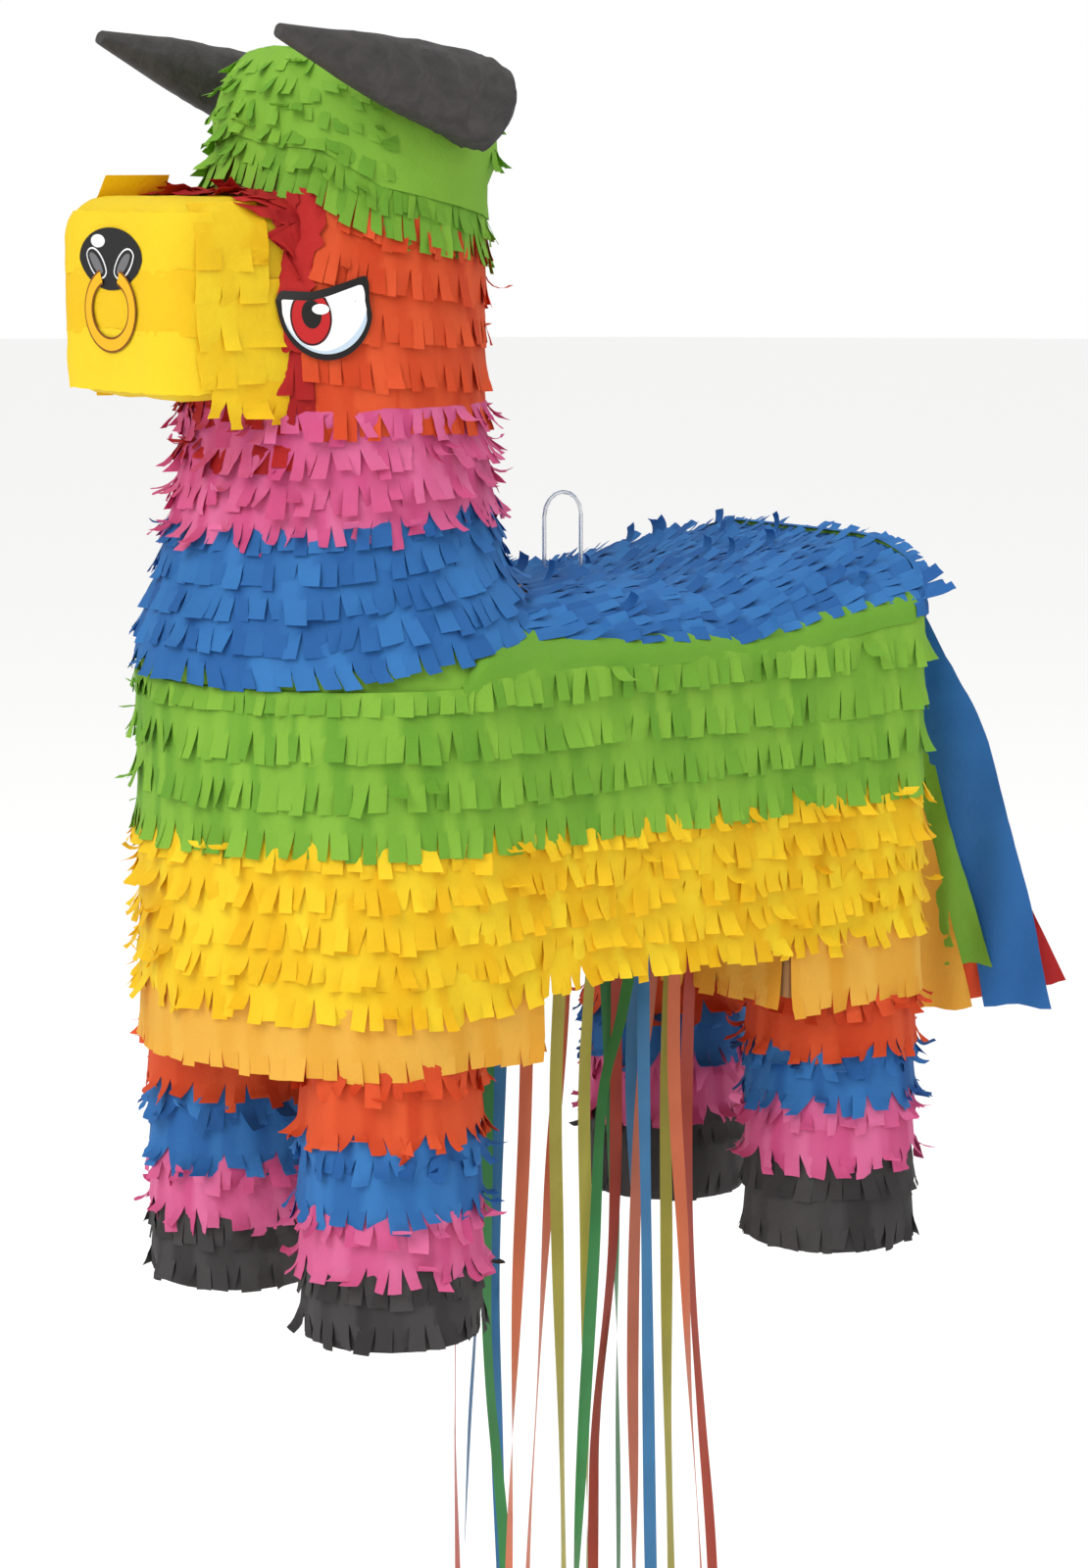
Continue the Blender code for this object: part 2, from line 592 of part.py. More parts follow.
def leg_centres():
    for end, y in (("front", -LEG_Y), ("rear", LEG_Y)):
        for side, x in (("left", LEG_X), ("right", -LEG_X)):
            yield end + "_" + side, x, y


def leg_rounds(name, radius, low, high):
    """Four upright posts in one mesh, at the legs."""
    def make(work):
        for _, x, y in leg_centres():
            place = Matrix.Translation((x, y, (low + high) / 2))
            bmesh.ops.create_cone(work, cap_ends=True, segments=LEG_SIDES, radius1=radius,
                                  radius2=radius, depth=high - low, matrix=place)
    return finished(name, make)


def make_skirts():
    """The deep gold fringe that hangs over the tops of the legs."""
    low, high = SKIRT_EDGE_Z, BELLY_Z
    bulge = cutter("skirt_bulge", leg_rounds("skirt_bulge", LEG_RADIUS, low, high))
    core = cutter("skirt_core", prism("skirt_core", [trunk_plan(TISSUE)], low - 0.01, high + 0.01))
    legs = cutter("skirt_legs", leg_rounds("skirt_legs", LEG_RADIUS - TISSUE, low - 0.01,
                                           high + 0.01))
    for name, start, end in (("skirt_front", -0.2, BELLY_FRONT_Y), ("skirt_rear", BELLY_REAR_Y, 0.2)):
        skirt = piece(name, prism(name, [trunk_plan(0.0)], low, high), "gold")
        boolean(skirt, bulge, "UNION")
        boolean(skirt, core)
        boolean(skirt, legs)
        room = box(name + "_part", (-0.2, start, 0.08), (0.2, end, 0.15))
        boolean(skirt, cutter(name + "_part", room), "INTERSECT")


# ---- legs ---------------------------------------------------------------------------
def make_legs():
    card = LEG_RADIUS - CARD
    for name, x, y in leg_centres():
        def ring(radius):
            return arc((x, y), radius, 0, 360 - 360 / LEG_SIDES, LEG_SIDES - 1)
        leg_tube = prism("leg_tube_" + name, [ring(card), ring(card - BOARD)], BOARD + PASTE,
                         FLOOR_Z - PASTE)
        piece("leg_tube_" + name, leg_tube, "card")
        piece("foot_disc_" + name, prism("foot_disc_" + name, [ring(card)], 0.0, BOARD), "black")
        coat = prism("leg_tissue_" + name, [ring(LEG_RADIUS), ring(card + PASTE)], 0.0,
                     SKIRT_EDGE_Z - PASTE)
        piece("leg_tissue_" + name, coat, "orange")


# ---- neck and head ------------------------------------------------------------------
def muzzle_block(name, inset, rear, rounding, front=None, steps=2):
    """A block the size of the muzzle less an inset, with rounded edges."""
    face = MUZZLE_FRONT_Y + inset if front is None else front

    def make(work):
        low = Vector((inset - MUZZLE_HALF_WIDTH, face, MUZZLE_LOW_Z + inset))
        high = Vector((MUZZLE_HALF_WIDTH - inset, rear, MUZZLE_HIGH_Z - inset))
        size = Matrix.Diagonal(high - low).to_4x4()
        bmesh.ops.create_cube(work, size=1.0, matrix=Matrix.Translation((low + high) / 2) @ size)
        bmesh.ops.bevel(work, geom=work.edges[:], offset=rounding, segments=steps, profile=0.5,
                        affect="EDGES", material=-1)
    return finished(name, make)


def make_neck_and_head():
    seats = cutter("horn_seats", horn_pair("horn_seats", PASTE))
    neck = head_sleeve("neck_tube", NECK_CARD_FOOT_Z, NECK_CARD_TOP_Z, CARD, CARD_INSIDE)
    boolean(piece("neck_tube", neck, "card"), seats)
    crown_z = NECK_CARD_TOP_Z + PASTE
    centre, radius = head_ring(crown_z + BOARD, CARD + PASTE)
    crown = arc((0.0, centre), radius, 0, 360 - 360 / HEAD_SIDES, HEAD_SIDES - 1)
    piece("crown_disc", prism("crown_disc", [crown], crown_z, crown_z + BOARD), "card")

    collar = piece("tissue_collar_blue", head_sleeve("tissue_collar_blue", CHEST_TOP_Z + PASTE,
                                                     COLLAR_TOP_Z, 0.0, TISSUE), "blue")
    boolean(collar, below_collar)
    piece("tissue_collar_pink", head_sleeve("tissue_collar_pink", COLLAR_TOP_Z + PASTE,
                                            PINK_TOP_Z - PASTE, 0.0, TISSUE), "pink")
    facet = 360.0 / HEAD_SIDES
    cheek_angle = CHEEK_FACETS * facet
    seam = math.degrees(PASTE / head_ring(PINK_TOP_Z, 0.0)[1])
    piece("tissue_head_orange",
          head_sleeve("tissue_head_orange", PINK_TOP_Z, CAP_EDGE_Z, 0.0, TISSUE,
                      angles=(cheek_angle + seam, 360 - cheek_angle - seam),
                      sides=HEAD_SIDES - 2 * CHEEK_FACETS), "orange")
    hole = cutter("muzzle_hole", muzzle_block("muzzle_hole", -PASTE, -0.12, MUZZLE_ROUNDING))
    cheek = piece("tissue_cheek_red",
                  head_sleeve("tissue_cheek_red", PINK_TOP_Z, CAP_EDGE_Z, 0.0, TISSUE,
                              angles=(-cheek_angle, cheek_angle), sides=2 * CHEEK_FACETS),
                  "red")
    boolean(cheek, hole)
    cap = piece("tissue_cap_green",
                head_sleeve("tissue_cap_green", CAP_EDGE_Z + PASTE, 0.465, 0.0, TISSUE,
                            closed_top=True), "green")
    boolean(cap, hole)
    boolean(cap, seats)


def make_muzzle():
    for name, outer, inner, clear, colour in (
            ("muzzle_box", CARD, CARD_INSIDE, head_card_clear, "card"),
            ("tissue_muzzle_yellow", 0.0, TISSUE, head_coat_clear, "yellow")):
        rounding = MUZZLE_ROUNDING - outer
        block = piece(name, muzzle_block(name, outer, -0.125, rounding), colour)
        hollow = muzzle_block(name + "_hollow", inner, -0.11, max(0.001, rounding - inner + outer))
        boolean(block, cutter(name + "_hollow", hollow))
        boolean(block, clear)


def make_nose():
    """A printed nose with a ring, stuck flat on the front of the muzzle."""
    middle = (NOSE_LOW_Z + NOSE_HIGH_Z) / 2
    half = (NOSE_HIGH_Z - NOSE_LOW_Z) / 2
    outline = [(0.0 + NOSE_HALF_WIDTH * u, middle + half * v)
               for u, v in arc((0.0, 0.0), 1.0, 0, 345, 23)]
    mesh = prism("nose_ring_sticker", [outline], 0.0, STICKER)
    stand = Matrix(((1, 0, 0, 0), (0, 0, -1, MUZZLE_FRONT_Y - PASTE), (0, 1, 0, 0), (0, 0, 0, 1)))
    mesh.transform(stand)
    piece("nose_ring_sticker", mesh, "black")


def make_eyes():
    centre, radius = head_ring((EYE_LOW_Z + EYE_HIGH_Z) / 2, 0.0)
    half = math.degrees(EYE_HALF_WIDTH / radius)
    clear = math.degrees(math.asin(MUZZLE_HALF_WIDTH / radius)) + EYE_GAP
    for side, sign in (("left", 1), ("right", -1)):
        middle = sign * (clear + half)
        mesh = head_sleeve("eye_sticker_" + side, EYE_LOW_Z, EYE_HIGH_Z, -PASTE * 2 - STICKER,
                           -PASTE * 2, angles=(middle - half, middle + half), sides=6)
        piece("eye_sticker_" + side, mesh, "white")


def horn_pair(name, grow, sides=(1, -1)):
    """Paper horns lying forward, thick and rounded at the rear end."""
    stations = [(0.0, 0.0), (0.34, 0.44), (0.62, 0.71), (0.9, 0.93), (1.0, 1.0), (1.09, 0.86),
                (1.14, 0.5)]

    def make(work):
        for sign in sides:
            base = Vector((sign * HORN_BASE.x, HORN_BASE.y, HORN_BASE.z))
            tip = Vector((sign * HORN_TIP.x, HORN_TIP.y, HORN_TIP.z))
            along = (base - tip).normalized()
            turn = along.to_track_quat("Z", "Y").to_matrix().to_4x4()
            edges, rings = [], []
            for share, size in stations:
                radius = HORN_TIP_RADIUS + size * (HORN_BASE_RADIUS - HORN_TIP_RADIUS) + grow
                place = Matrix.Translation(tip.lerp(base, share)) @ turn
                ring = bmesh.ops.create_circle(work, segments=14, radius=radius, matrix=place)
                rings.append(ring["verts"])
                edges += list({edge for vert in ring["verts"] for edge in vert.link_edges})
            bmesh.ops.bridge_loops(work, edges=edges)
            for ring in (rings[0], rings[-1]):
                bmesh.ops.contextual_create(work, geom=ring)
    return finished(name, make)


def make_horns():
    for side, sign in (("left", 1), ("right", -1)):
        piece("horn_" + side, horn_pair("horn_" + side, 0.0, (sign,)), "black")


# ---- loop, tail and ribbons ---------------------------------------------------------
def make_hanging_loop():
    """A closed ring of clear line through two holes in the back."""
    bend = LOOP_HALF_SPAN
    low, high = LOOP_FOOT_Z + bend, LOOP_TOP_Z - bend
    ring = arc((LOOP_Y, high), bend, 0, 180, 8) + arc((LOOP_Y, low), bend, 180, 360, 8)
    tube("hanging_loop", [(0.0, y, z) for y, z in ring], LOOP_CORD, "clear", cyclic=True)


def make_tail():
    """The bundle of tissue streamers as one spreading wedge, hinged at its root."""
    root_y = RUMP_Y + PASTE
    stations = [  # middle x, near y, far y, z, half width
        (TAIL_ROOT_X, root_y, root_y + 0.005, TAIL_ROOT_Z, TAIL_ROOT_HALF_WIDTH),
        (TAIL_ROOT_X, root_y + 0.012, root_y + 0.026, TAIL_ROOT_Z - 0.045, 0.0330),
        (TAIL_ROOT_X - 0.002, root_y + 0.030, root_y + 0.060, TAIL_ROOT_Z - 0.110, 0.0370),
        (TAIL_ROOT_X - 0.004, root_y + 0.047, root_y + 0.094, TAIL_ROOT_Z - 0.182, 0.0400)]

    def make(work):
        bmesh.ops.create_cube(work, size=1.0)
        upright = [edge for edge in work.edges if abs(edge.verts[0].co.z - edge.verts[1].co.z) > 0.5]
        bmesh.ops.subdivide_edges(work, edges=upright, cuts=len(stations) - 2, use_grid_fill=True)
        for vert in work.verts:
            level = round((0.5 - vert.co.z) * (len(stations) - 1))
            middle, near, far, z, half = stations[level]
            vert.co = (middle + half * 2 * vert.co.x, near if vert.co.y < 0 else far, z)
    pivot = (TAIL_ROOT_X, root_y, TAIL_ROOT_Z)
    piece("tail_streamers", finished("tail_streamers", make), "blue", pivot)


def make_ribbons():
    """Sixteen loose ribbons, each tucked through its own slit, and the one that opens
    the trap door."""
    spacing = 4 * RIBBON_WIDTH
    for name, colour, points in RIBBONS:
        top = Vector(points[0])
        route = smooth_route(points, spacing)
        tube(name, [top + Vector((0.0, 0.0, RIBBON_TUCK))] + route, RIBBON_WIDTH, colour)
    tube("pull_ribbon", smooth_route(PULL_RIBBON, spacing), RIBBON_WIDTH, "green",
         pivot=PULL_RIBBON[0])


make_chest_shell()
make_side_panels()
make_rump_panel()
make_back()
make_belly_panel()
make_trap_door()
make_filler_flap()
make_flank_tissue()
make_skirts()
make_legs()
make_neck_and_head()
make_muzzle()
make_nose()
make_eyes()
make_horns()
make_hanging_loop()
make_tail()
make_ribbons()
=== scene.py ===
"""Paper skin, printed stickers, tail streamers and loose ribbons of a pull-ribbon party
pinata in the shape of a young bull.  Metres, +Z up, the bull faces -Y and its left side is
+X.  Places are written from the soles of the hooves and the middle of the feet, and SOLES
moves each finished piece into the model's own frame."""
import math
import random

import bmesh
import bpy
from mathutils import Matrix, Vector, noise


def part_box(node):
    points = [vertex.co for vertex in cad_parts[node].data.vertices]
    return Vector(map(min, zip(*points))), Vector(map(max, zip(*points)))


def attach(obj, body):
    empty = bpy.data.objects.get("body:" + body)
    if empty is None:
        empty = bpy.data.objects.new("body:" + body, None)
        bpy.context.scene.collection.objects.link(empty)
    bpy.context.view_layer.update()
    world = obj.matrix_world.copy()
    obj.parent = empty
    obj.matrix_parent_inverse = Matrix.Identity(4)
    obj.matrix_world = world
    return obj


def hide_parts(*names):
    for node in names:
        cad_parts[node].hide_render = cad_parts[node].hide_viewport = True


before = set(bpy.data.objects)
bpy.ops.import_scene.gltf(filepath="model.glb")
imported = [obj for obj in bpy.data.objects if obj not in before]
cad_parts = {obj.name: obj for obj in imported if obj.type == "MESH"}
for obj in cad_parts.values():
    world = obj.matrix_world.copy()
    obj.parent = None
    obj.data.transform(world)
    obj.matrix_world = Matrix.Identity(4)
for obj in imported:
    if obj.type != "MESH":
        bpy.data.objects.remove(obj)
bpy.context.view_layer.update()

# ---- places and sizes, read from the model where it has them ---------------------------
front_foot, rear_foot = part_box("foot_disc_front_left"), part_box("foot_disc_rear_left")
SOLES = Vector((0.0, (front_foot[0].y + rear_foot[1].y) / 2, front_foot[0].z))


def span(node):
    """Lowest and highest corner of a model piece, from the soles."""
    low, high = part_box(node)
    return low - SOLES, high - SOLES


TRUNK_LOW, TRUNK_HIGH = span("tissue_flank_yellow")
HALF_WIDTH = TRUNK_HIGH.x
RUMP_Y = TRUNK_HIGH.y
YELLOW_TOP = TRUNK_HIGH.z
BELLY_Z = TRUNK_LOW.z
CHEST_AXIS_Y = TRUNK_LOW.y + HALF_WIDTH
RUMP_CORNER = 0.020
CHEST_TOP = 0.2405
EDGE_DROP = 0.0245
FLAT_HALF = 0.030
BACK_CROWN = [(-0.086, 0.272), (0.010, 0.272), (0.035, 0.268), (0.075, 0.274),
              (0.105, 0.278), (0.140, 0.280)]
HEAD_LEVELS = [(0.2000, -0.0840, 0.0827), (0.2330, -0.0840, 0.0827), (0.2360, -0.0855, 0.0803),
               (0.2480, -0.0940, 0.0726), (0.2620, -0.0945, 0.0696), (0.2840, -0.0963, 0.0656),
               (0.2950, -0.0960, 0.0620), (0.3280, -0.0948, 0.0572), (0.3520, -0.0965, 0.0588),
               (0.3780, -0.0980, 0.0600), (0.3980, -0.0935, 0.0570), (0.4170, -0.0890, 0.0530),
               (0.4300, -0.0850, 0.0535), (0.4440, -0.0850, 0.0520), (0.4550, -0.0850, 0.0485),
               (0.4620, -0.0850, 0.0440), (0.4670, -0.0850, 0.0380)]
MUZZLE_SHIFT = -0.0030     # the pasted muzzle bulges a little to the bull's right
MUZZLE_HALF = span("tissue_muzzle_yellow")[1].x + 0.0035
MUZZLE_FRONT = span("tissue_muzzle_yellow")[0].y - 0.0015
MUZZLE_FOOT, MUZZLE_TOP = 0.3425, 0.4145
MUZZLE_ROUNDING = 0.0145
LEG_LOW, LEG_HIGH = span("leg_tissue_front_left")
LEG_RADIUS = (LEG_HIGH.x - LEG_LOW.x) / 2
LEG_X = (LEG_HIGH.x + LEG_LOW.x) / 2
LEG_Y = -(LEG_HIGH.y + LEG_LOW.y) / 2
SKIRT_EDGE = span("skirt_front")[0].z
FRONT_RISER_Y = span("skirt_front")[1].y
REAR_RISER_Y = span("skirt_rear")[0].y
FLAP_LOW, FLAP_HIGH = span("filler_flap_tissue")

COAT = 0.0033              # depth of the fringe over the card
SHEET = 0.00012            # one sheet of tissue, drawn a little thick
ROW = 0.0175               # pitch of the rows on the trunk
LAP = 0.0015               # how far a row reaches past the cuts of the row below it
LONGEST_EDGE = 0.020       # no paper cell is longer, so a longer one has been thrown out
LEG_SWELL = (0.118, 0.160) # heights over which the fringe on a leg runs into the trunk
PRESSED = 0.0026           # height of the fringe under a sticker
NECK_RUN_RADIUS = 0.060    # turns an angle round the neck into a length along a row
EYE_TURN = math.radians(54.0)
EYE_HALF = 0.0170
EYE_LOW, EYE_HIGH = 0.3570, 0.3866
NOSE_Z = 0.3925
ACROSS, BAND, DOWN = 2, 2, 7   # cells across one flap, in the uncut band, and in all

# each loose ribbon, its colour first in its name: places in millimetres from the slit down
# to the free end
RIBBON_WIDTH = 0.0050
RIBBON_SHEET = 0.00018     # thickness
RIBBON_TUCK = 0.0240       # length hidden inside the belly
RIBBON_STEP = 0.006        # length of one cell along a ribbon
RIBBON_PATHS = {
    "orange_front": [(38, -34, 134), (38, -36, 63), (38, -40, -10), (37, -43, -109),
        (38, -45, -190), (39, -44, -258)],
    "olive_front": [(38, -18, 134), (38, -21, 75), (38, -20, 9), (38, -17, -112), (37, -16, -190),
        (38, -14, -266)],
    "olive_middle": [(38, -3, 134), (38, -7, 75), (38, -6, 9), (39, -6, -110), (39, -7, -185),
        (40, -6, -251)],
    "green_left": [(44, 14, 134), (44, 6, 100), (44, -3, 70), (44, -7, 8), (44, -12, -61),
        (45, -17, -135), (45, -20, -240)],
    "blue_left": [(36, 24, 134), (36, 24, 86), (36, 26, 3), (36, 28, -97), (35, 31, -180),
        (34, 33, -262)],
    "orange_rear": [(38, 38, 134), (38, 38, 70), (38, 43, 5), (38, 47, -57), (39, 53, -140),
        (40, 58, -249)],
    "orange_right": [(-38, 45, 134), (-38, 42, 79), (-38, 35, 10), (-38, 29, -73), (-38, 24, -148),
        (-39, 20, -260)],
    "red_front": [(-38, -25, 134), (-41, -18, 60), (-44, -9, -30), (-45, -8, -90), (-45, -7, -140),
        (-45, -5, -255)],
    "blue_front": [(-38, -10, 134), (-38, -4, 60), (-38, -2, -20), (-38, -6, -83), (-38, -9, -141),
        (-38, -14, -246)],
    "blue_right": [(-38, 14, 134), (-38, 10, 60), (-38, 7, -20), (-38, 8, -86), (-38, 10, -144),
        (-37, 13, -264)],
    "green_behind": [(-29, 54.5, 134), (-25, 55, 85), (-21, 56, 3), (-19, 56, -82), (-18, 56, -149),
        (-18, 55, -253)],
    "red_behind": [(-20, 54.5, 134), (-18, 54, 70), (-16, 51, -9), (-24, 49, -83), (-26, 49, -130),
        (-26, 48, -262)],
    "blue_behind": [(-4, 54.5, 134), (-9, 54.5, 60), (-10, 58, -20), (-11, 58, -90),
        (-11, 59, -148), (-11, 61, -256)],
    "salmon_behind": [(7, 54.5, 134), (4, 54, 95), (0, 52, 57), (-2, 51, 0), (-3, 51, -61),
        (-3, 52, -130), (-4, 52, -244)],
    "olive_behind": [(17, 54.5, 134), (13, 54.5, 70), (12, 56, 0), (13, 56, -65), (16, 56, -139),
        (19, 57, -261)],
    "red_left": [(29, 54.5, 134), (26, 54.5, 72), (24, 57, 20), (27, 58, -30), (30, 60, -75),
        (34, 63, -140), (36, 66, -252)],
}
RIBBON_PATHS = {key: [tuple(c / 1000 for c in point) for point in path]
                for key, path in RIBBON_PATHS.items()}
PULL_RIBBON = [(0.000, -0.021, 0.1311), (-0.001, -0.024, 0.070), (0.000, -0.026, 0.000),
               (0.001, -0.025, -0.050), (0.009, -0.023, -0.128), (0.015, -0.021, -0.268)]


# ---- camera ------------------------------------------------------------------------------
def place_object(title, data):
    obj = bpy.data.objects.new(title, data)
    bpy.context.scene.collection.objects.link(obj)
    return obj


CAMERA_AIM = Vector((0.0014, 0.0018, 0.1868))
CAMERA_TURN, CAMERA_RISE = math.radians(52.11), math.radians(9.04)   # towards the left, up
CAMERA_DISTANCE, CAMERA_LENS = 1.5436, 91.07                         # metres, millimetres


def make_camera():
    lens = bpy.data.cameras.new("camera")
    lens.lens = CAMERA_LENS
    lens.clip_start = 0.05
    camera = place_object("camera", lens)
    away = Vector((math.sin(CAMERA_TURN) * math.cos(CAMERA_RISE),
                   -math.cos(CAMERA_TURN) * math.cos(CAMERA_RISE), math.sin(CAMERA_RISE)))
    camera.location = CAMERA_AIM + SOLES + away * CAMERA_DISTANCE
    camera.rotation_euler = (-away).to_track_quat("-Z", "Y").to_euler()
    bpy.context.scene.camera = camera


make_camera()


# ---- materials ---------------------------------------------------------------------------
def linear(code):
    """sRGB hex to linear colour."""
    channels = [int(code[start:start + 2], 16) / 255 for start in (1, 3, 5)]
    shaded = [c / 12.92 if c <= 0.04045 else ((c + 0.055) / 1.055) ** 2.4 for c in channels]
    return (*shaded, 1.0)


def add(tree, kind, inputs=None, **settings):
    """Adds one shader node, with its settings and what goes into its sockets."""
    made = tree.nodes.new("ShaderNode" + kind)
    for setting, value in settings.items():
        setattr(made, setting, value)
    for socket, value in (inputs or {}).items():
        if isinstance(value, bpy.types.NodeSocket):
            tree.links.new(value, made.inputs[socket])
        else:
            made.inputs[socket].default_value = value
    return made


def start_material(title):
    made = bpy.data.materials.new(title)
    made.use_nodes = True
    made.node_tree.nodes.clear()
    return made, made.node_tree


def end_material(tree, surface):
    add(tree, "OutputMaterial", {"Surface": surface})


def object_place(tree):
    """The shaded point in its own piece's coordinates, in metres."""
    return add(tree, "TexCoord").outputs["Object"]


def speckle(tree, place, scale, **shape):
    """Height of a noise pattern with about scale bumps in a metre."""
    inputs = {"Vector": place, "Scale": scale}
    inputs.update((key.capitalize(), value) for key, value in shape.items())
    return add(tree, "TexNoise", inputs).outputs["Fac"]


def stripes(tree, vector, pitch):
    """Height of waves that follow one another along X at a pitch in metres."""
    parts = add(tree, "SeparateXYZ", {0: vector})
    turns = add(tree, "Math", {0: parts.outputs["X"], 1: 2 * math.pi / pitch},
                operation="MULTIPLY")
    return add(tree, "Math", {0: turns.outputs[0]}, operation="SINE").outputs[0]


def ranged(tree, value, before=(0.0, 1.0), after=(0.0, 1.0)):
    """A value carried from one range to another."""
    return add(tree, "MapRange", {"Value": value, "From Min": before[0], "From Max": before[1],
                                  "To Min": after[0], "To Max": after[1]}).outputs[0]


def blend(tree, share, deep, light):
    return add(tree, "Mix", {"Factor": share, "A": linear(deep), "B": linear(light)},
               data_type="RGBA").outputs["Result"]


def shade(tree, colour, share):
    return add(tree, "VectorMath", {0: colour, "Scale": share}, operation="SCALE").outputs[0]


def bump(tree, height, strength, distance, under=None):
    inputs = {"Height": height, "Strength": strength, "Distance": distance}
    if under:
        inputs["Normal"] = under
    return add(tree, "Bump", inputs).outputs[0]


def glow_through(tree, surface, share, inputs):
    """A share of the light goes through the sheet and comes out tinted."""
    glow = add(tree, "BsdfTranslucent", inputs)
    return add(tree, "MixShader", {0: share, 1: surface, 2: glow.outputs[0]}).outputs[0]


def surface(tree, colour, roughness, normal, **more):
    """The main shader, with specular, sheen or ior where they are given."""
    sockets = {"specular": "Specular IOR Level", "sheen": "Sheen Weight", "ior": "IOR"}
    inputs = {"Base Color": colour, "Roughness": roughness, "Normal": normal}
    inputs.update((sockets[key], value) for key, value in more.items())
    return add(tree, "BsdfPrincipled", inputs).outputs[0]


FIBRE = 1900.0             # paper fibres in a metre


def tissue(title, light, deep, see_through=0.28):
    """Dyed tissue paper: thin, matt and a little see-through, so a lifted flap glows and
    its shadow stays coloured.  Each flap has its own tone, and the sheet has soft creases
    4 mm apart and paper fibre half a millimetre apart."""
    made, tree = start_material(title)
    place = object_place(tree)
    tone = add(tree, "Attribute", attribute_name="tone").outputs["Fac"]
    blotch = speckle(tree, place, 45.0, detail=3.0)
    fibre = speckle(tree, place, FIBRE)
    crease = speckle(tree, place, 250.0, detail=4.0, roughness=0.6)
    lifted = add(tree, "Math", {0: blotch, 1: 0.55, 2: tone}, operation="MULTIPLY_ADD")
    colour = blend(tree, ranged(tree, lifted.outputs[0], before=(0.15, 1.25)), deep, light)
    mottled = shade(tree, colour, ranged(tree, fibre, after=(0.93, 1.05)))
    folds = bump(tree, crease, 0.35, 0.0012)
    rough = bump(tree, fibre, 0.15, 0.0002, folds)
    paper = surface(tree, mottled, 0.72, rough, specular=0.3, ior=1.45)
    end_material(tree, glow_through(tree, paper, see_through,
                                    {"Color": mottled, "Normal": rough}))
    return made


def crumpled_tissue(title, light, deep):
    """Several layers of black tissue twisted over a paper core: no light gets through,
    and the crease tops are painted a lighter grey, a painted highlight where they stand up."""
    made, tree = start_material(title)
    place = object_place(tree)
    crease = speckle(tree, place, 140.0, detail=6.0, roughness=0.62, distortion=0.6)
    # painted highlight: lighter grey where the crease noise is high, the same noise that raises the
    # creases in the bump below
    colour = blend(tree, ranged(tree, crease, before=(0.35, 0.72)), deep, light)
    folds = bump(tree, crease, 0.6, 0.002)
    rough = bump(tree, speckle(tree, place, FIBRE), 0.15, 0.0002, folds)
    end_material(tree, surface(tree, colour, 0.7, rough, specular=0.35))
    return made


def printed(title, ink):
    """Ink on coated sticker paper: an even colour under a soft satin shine."""
    made, tree = start_material(title)
    stock = speckle(tree, object_place(tree), 900.0)
    colour = shade(tree, linear(ink)[:3], ranged(tree, stock, after=(0.96, 1.03)))
    wave = bump(tree, stock, 0.05, 0.0002)
    end_material(tree, surface(tree, colour, 0.5, wave, specular=0.2))
    return made


def party_ribbon(title, light, deep):
    """Party ribbon: satin, with fine threads along it half a millimetre apart, read from
    the ribbon's own flat map."""
    made, tree = start_material(title)
    flat = add(tree, "UVMap", uv_map="paper").outputs[0]
    colour = blend(tree, speckle(tree, flat, 40.0), deep, light)
    ribs = bump(tree, stripes(tree, flat, 0.0005), 0.12, 0.0002)
    band = surface(tree, colour, 0.42, ribs, sheen=0.15)
    end_material(tree, glow_through(tree, band, 0.15, {"Color": colour}))
    return made


def kraft_board(title, light, deep):
    """Brown corrugated card: faint flute lines 7 mm apart under a fibrous matt liner."""
    made, tree = start_material(title)
    place = object_place(tree)
    fibre = speckle(tree, place, 700.0, detail=5.0, roughness=0.7)
    ridges = bump(tree, stripes(tree, place, 0.007), 0.1, 0.0004)
    rough = bump(tree, fibre, 0.2, 0.0003, ridges)
    end_material(tree, surface(tree, blend(tree, fibre, deep, light), 0.85, rough,
                               specular=0.25))
    return made


def nylon_line(title):
    """Clear nylon line: smooth, bright along its edge, nearly colourless."""
    made, tree = start_material(title)
    shine = ranged(tree, speckle(tree, object_place(tree), 1200.0), after=(0.10, 0.22))
    line = add(tree, "BsdfPrincipled", {"Base Color": linear("#EEF1F2"), "Roughness": shine,
                                        "IOR": 1.53, "Transmission Weight": 0.85})
    end_material(tree, line.outputs[0])
    return made


TISSUES = {
    "green": tissue("green_tissue_paper", "#94C845", "#72AE36"),
    "yellow": tissue("yellow_tissue_paper", "#FFE22E", "#F7C614"),
    "gold": tissue("gold_tissue_paper", "#F7C350", "#EDAA2C"),
    "blue": tissue("blue_tissue_paper", "#3F86CB", "#2864AB"),
    "pink": tissue("pink_tissue_paper", "#EE7CAE", "#DA4F8B"),
    "orange": tissue("orange_tissue_paper", "#EE6234", "#DA4820"),
    "red": tissue("red_tissue_paper", "#CC2E2C", "#A81A1E"),
    "black": tissue("black_tissue_paper", "#474545", "#2E2C2C", 0.10),
}
HORN_PAPER = crumpled_tissue("black_twisted_tissue", "#454241", "#353232")
CARD = kraft_board("kraft_corrugated_card", "#B58A5C", "#8F6A42")
FOOT_CARD = kraft_board("black_painted_card", "#3E3C3B", "#2A2828")
NYLON = nylon_line("clear_nylon_line")
RIBBON_COLOURS = {
    "green": party_ribbon("green_woven_ribbon", "#3F9A52", "#2F7D40"),
    "red": party_ribbon("red_woven_ribbon", "#C24A33", "#A53A26"),
    "blue": party_ribbon("blue_woven_ribbon", "#3A86BA", "#27699B"),
    "orange": party_ribbon("orange_woven_ribbon", "#DD7244", "#C65E33"),
    "olive": party_ribbon("olive_woven_ribbon", "#B9B040", "#9C952F"),
    "salmon": party_ribbon("salmon_woven_ribbon", "#D67C5E", "#BE6547"),
}
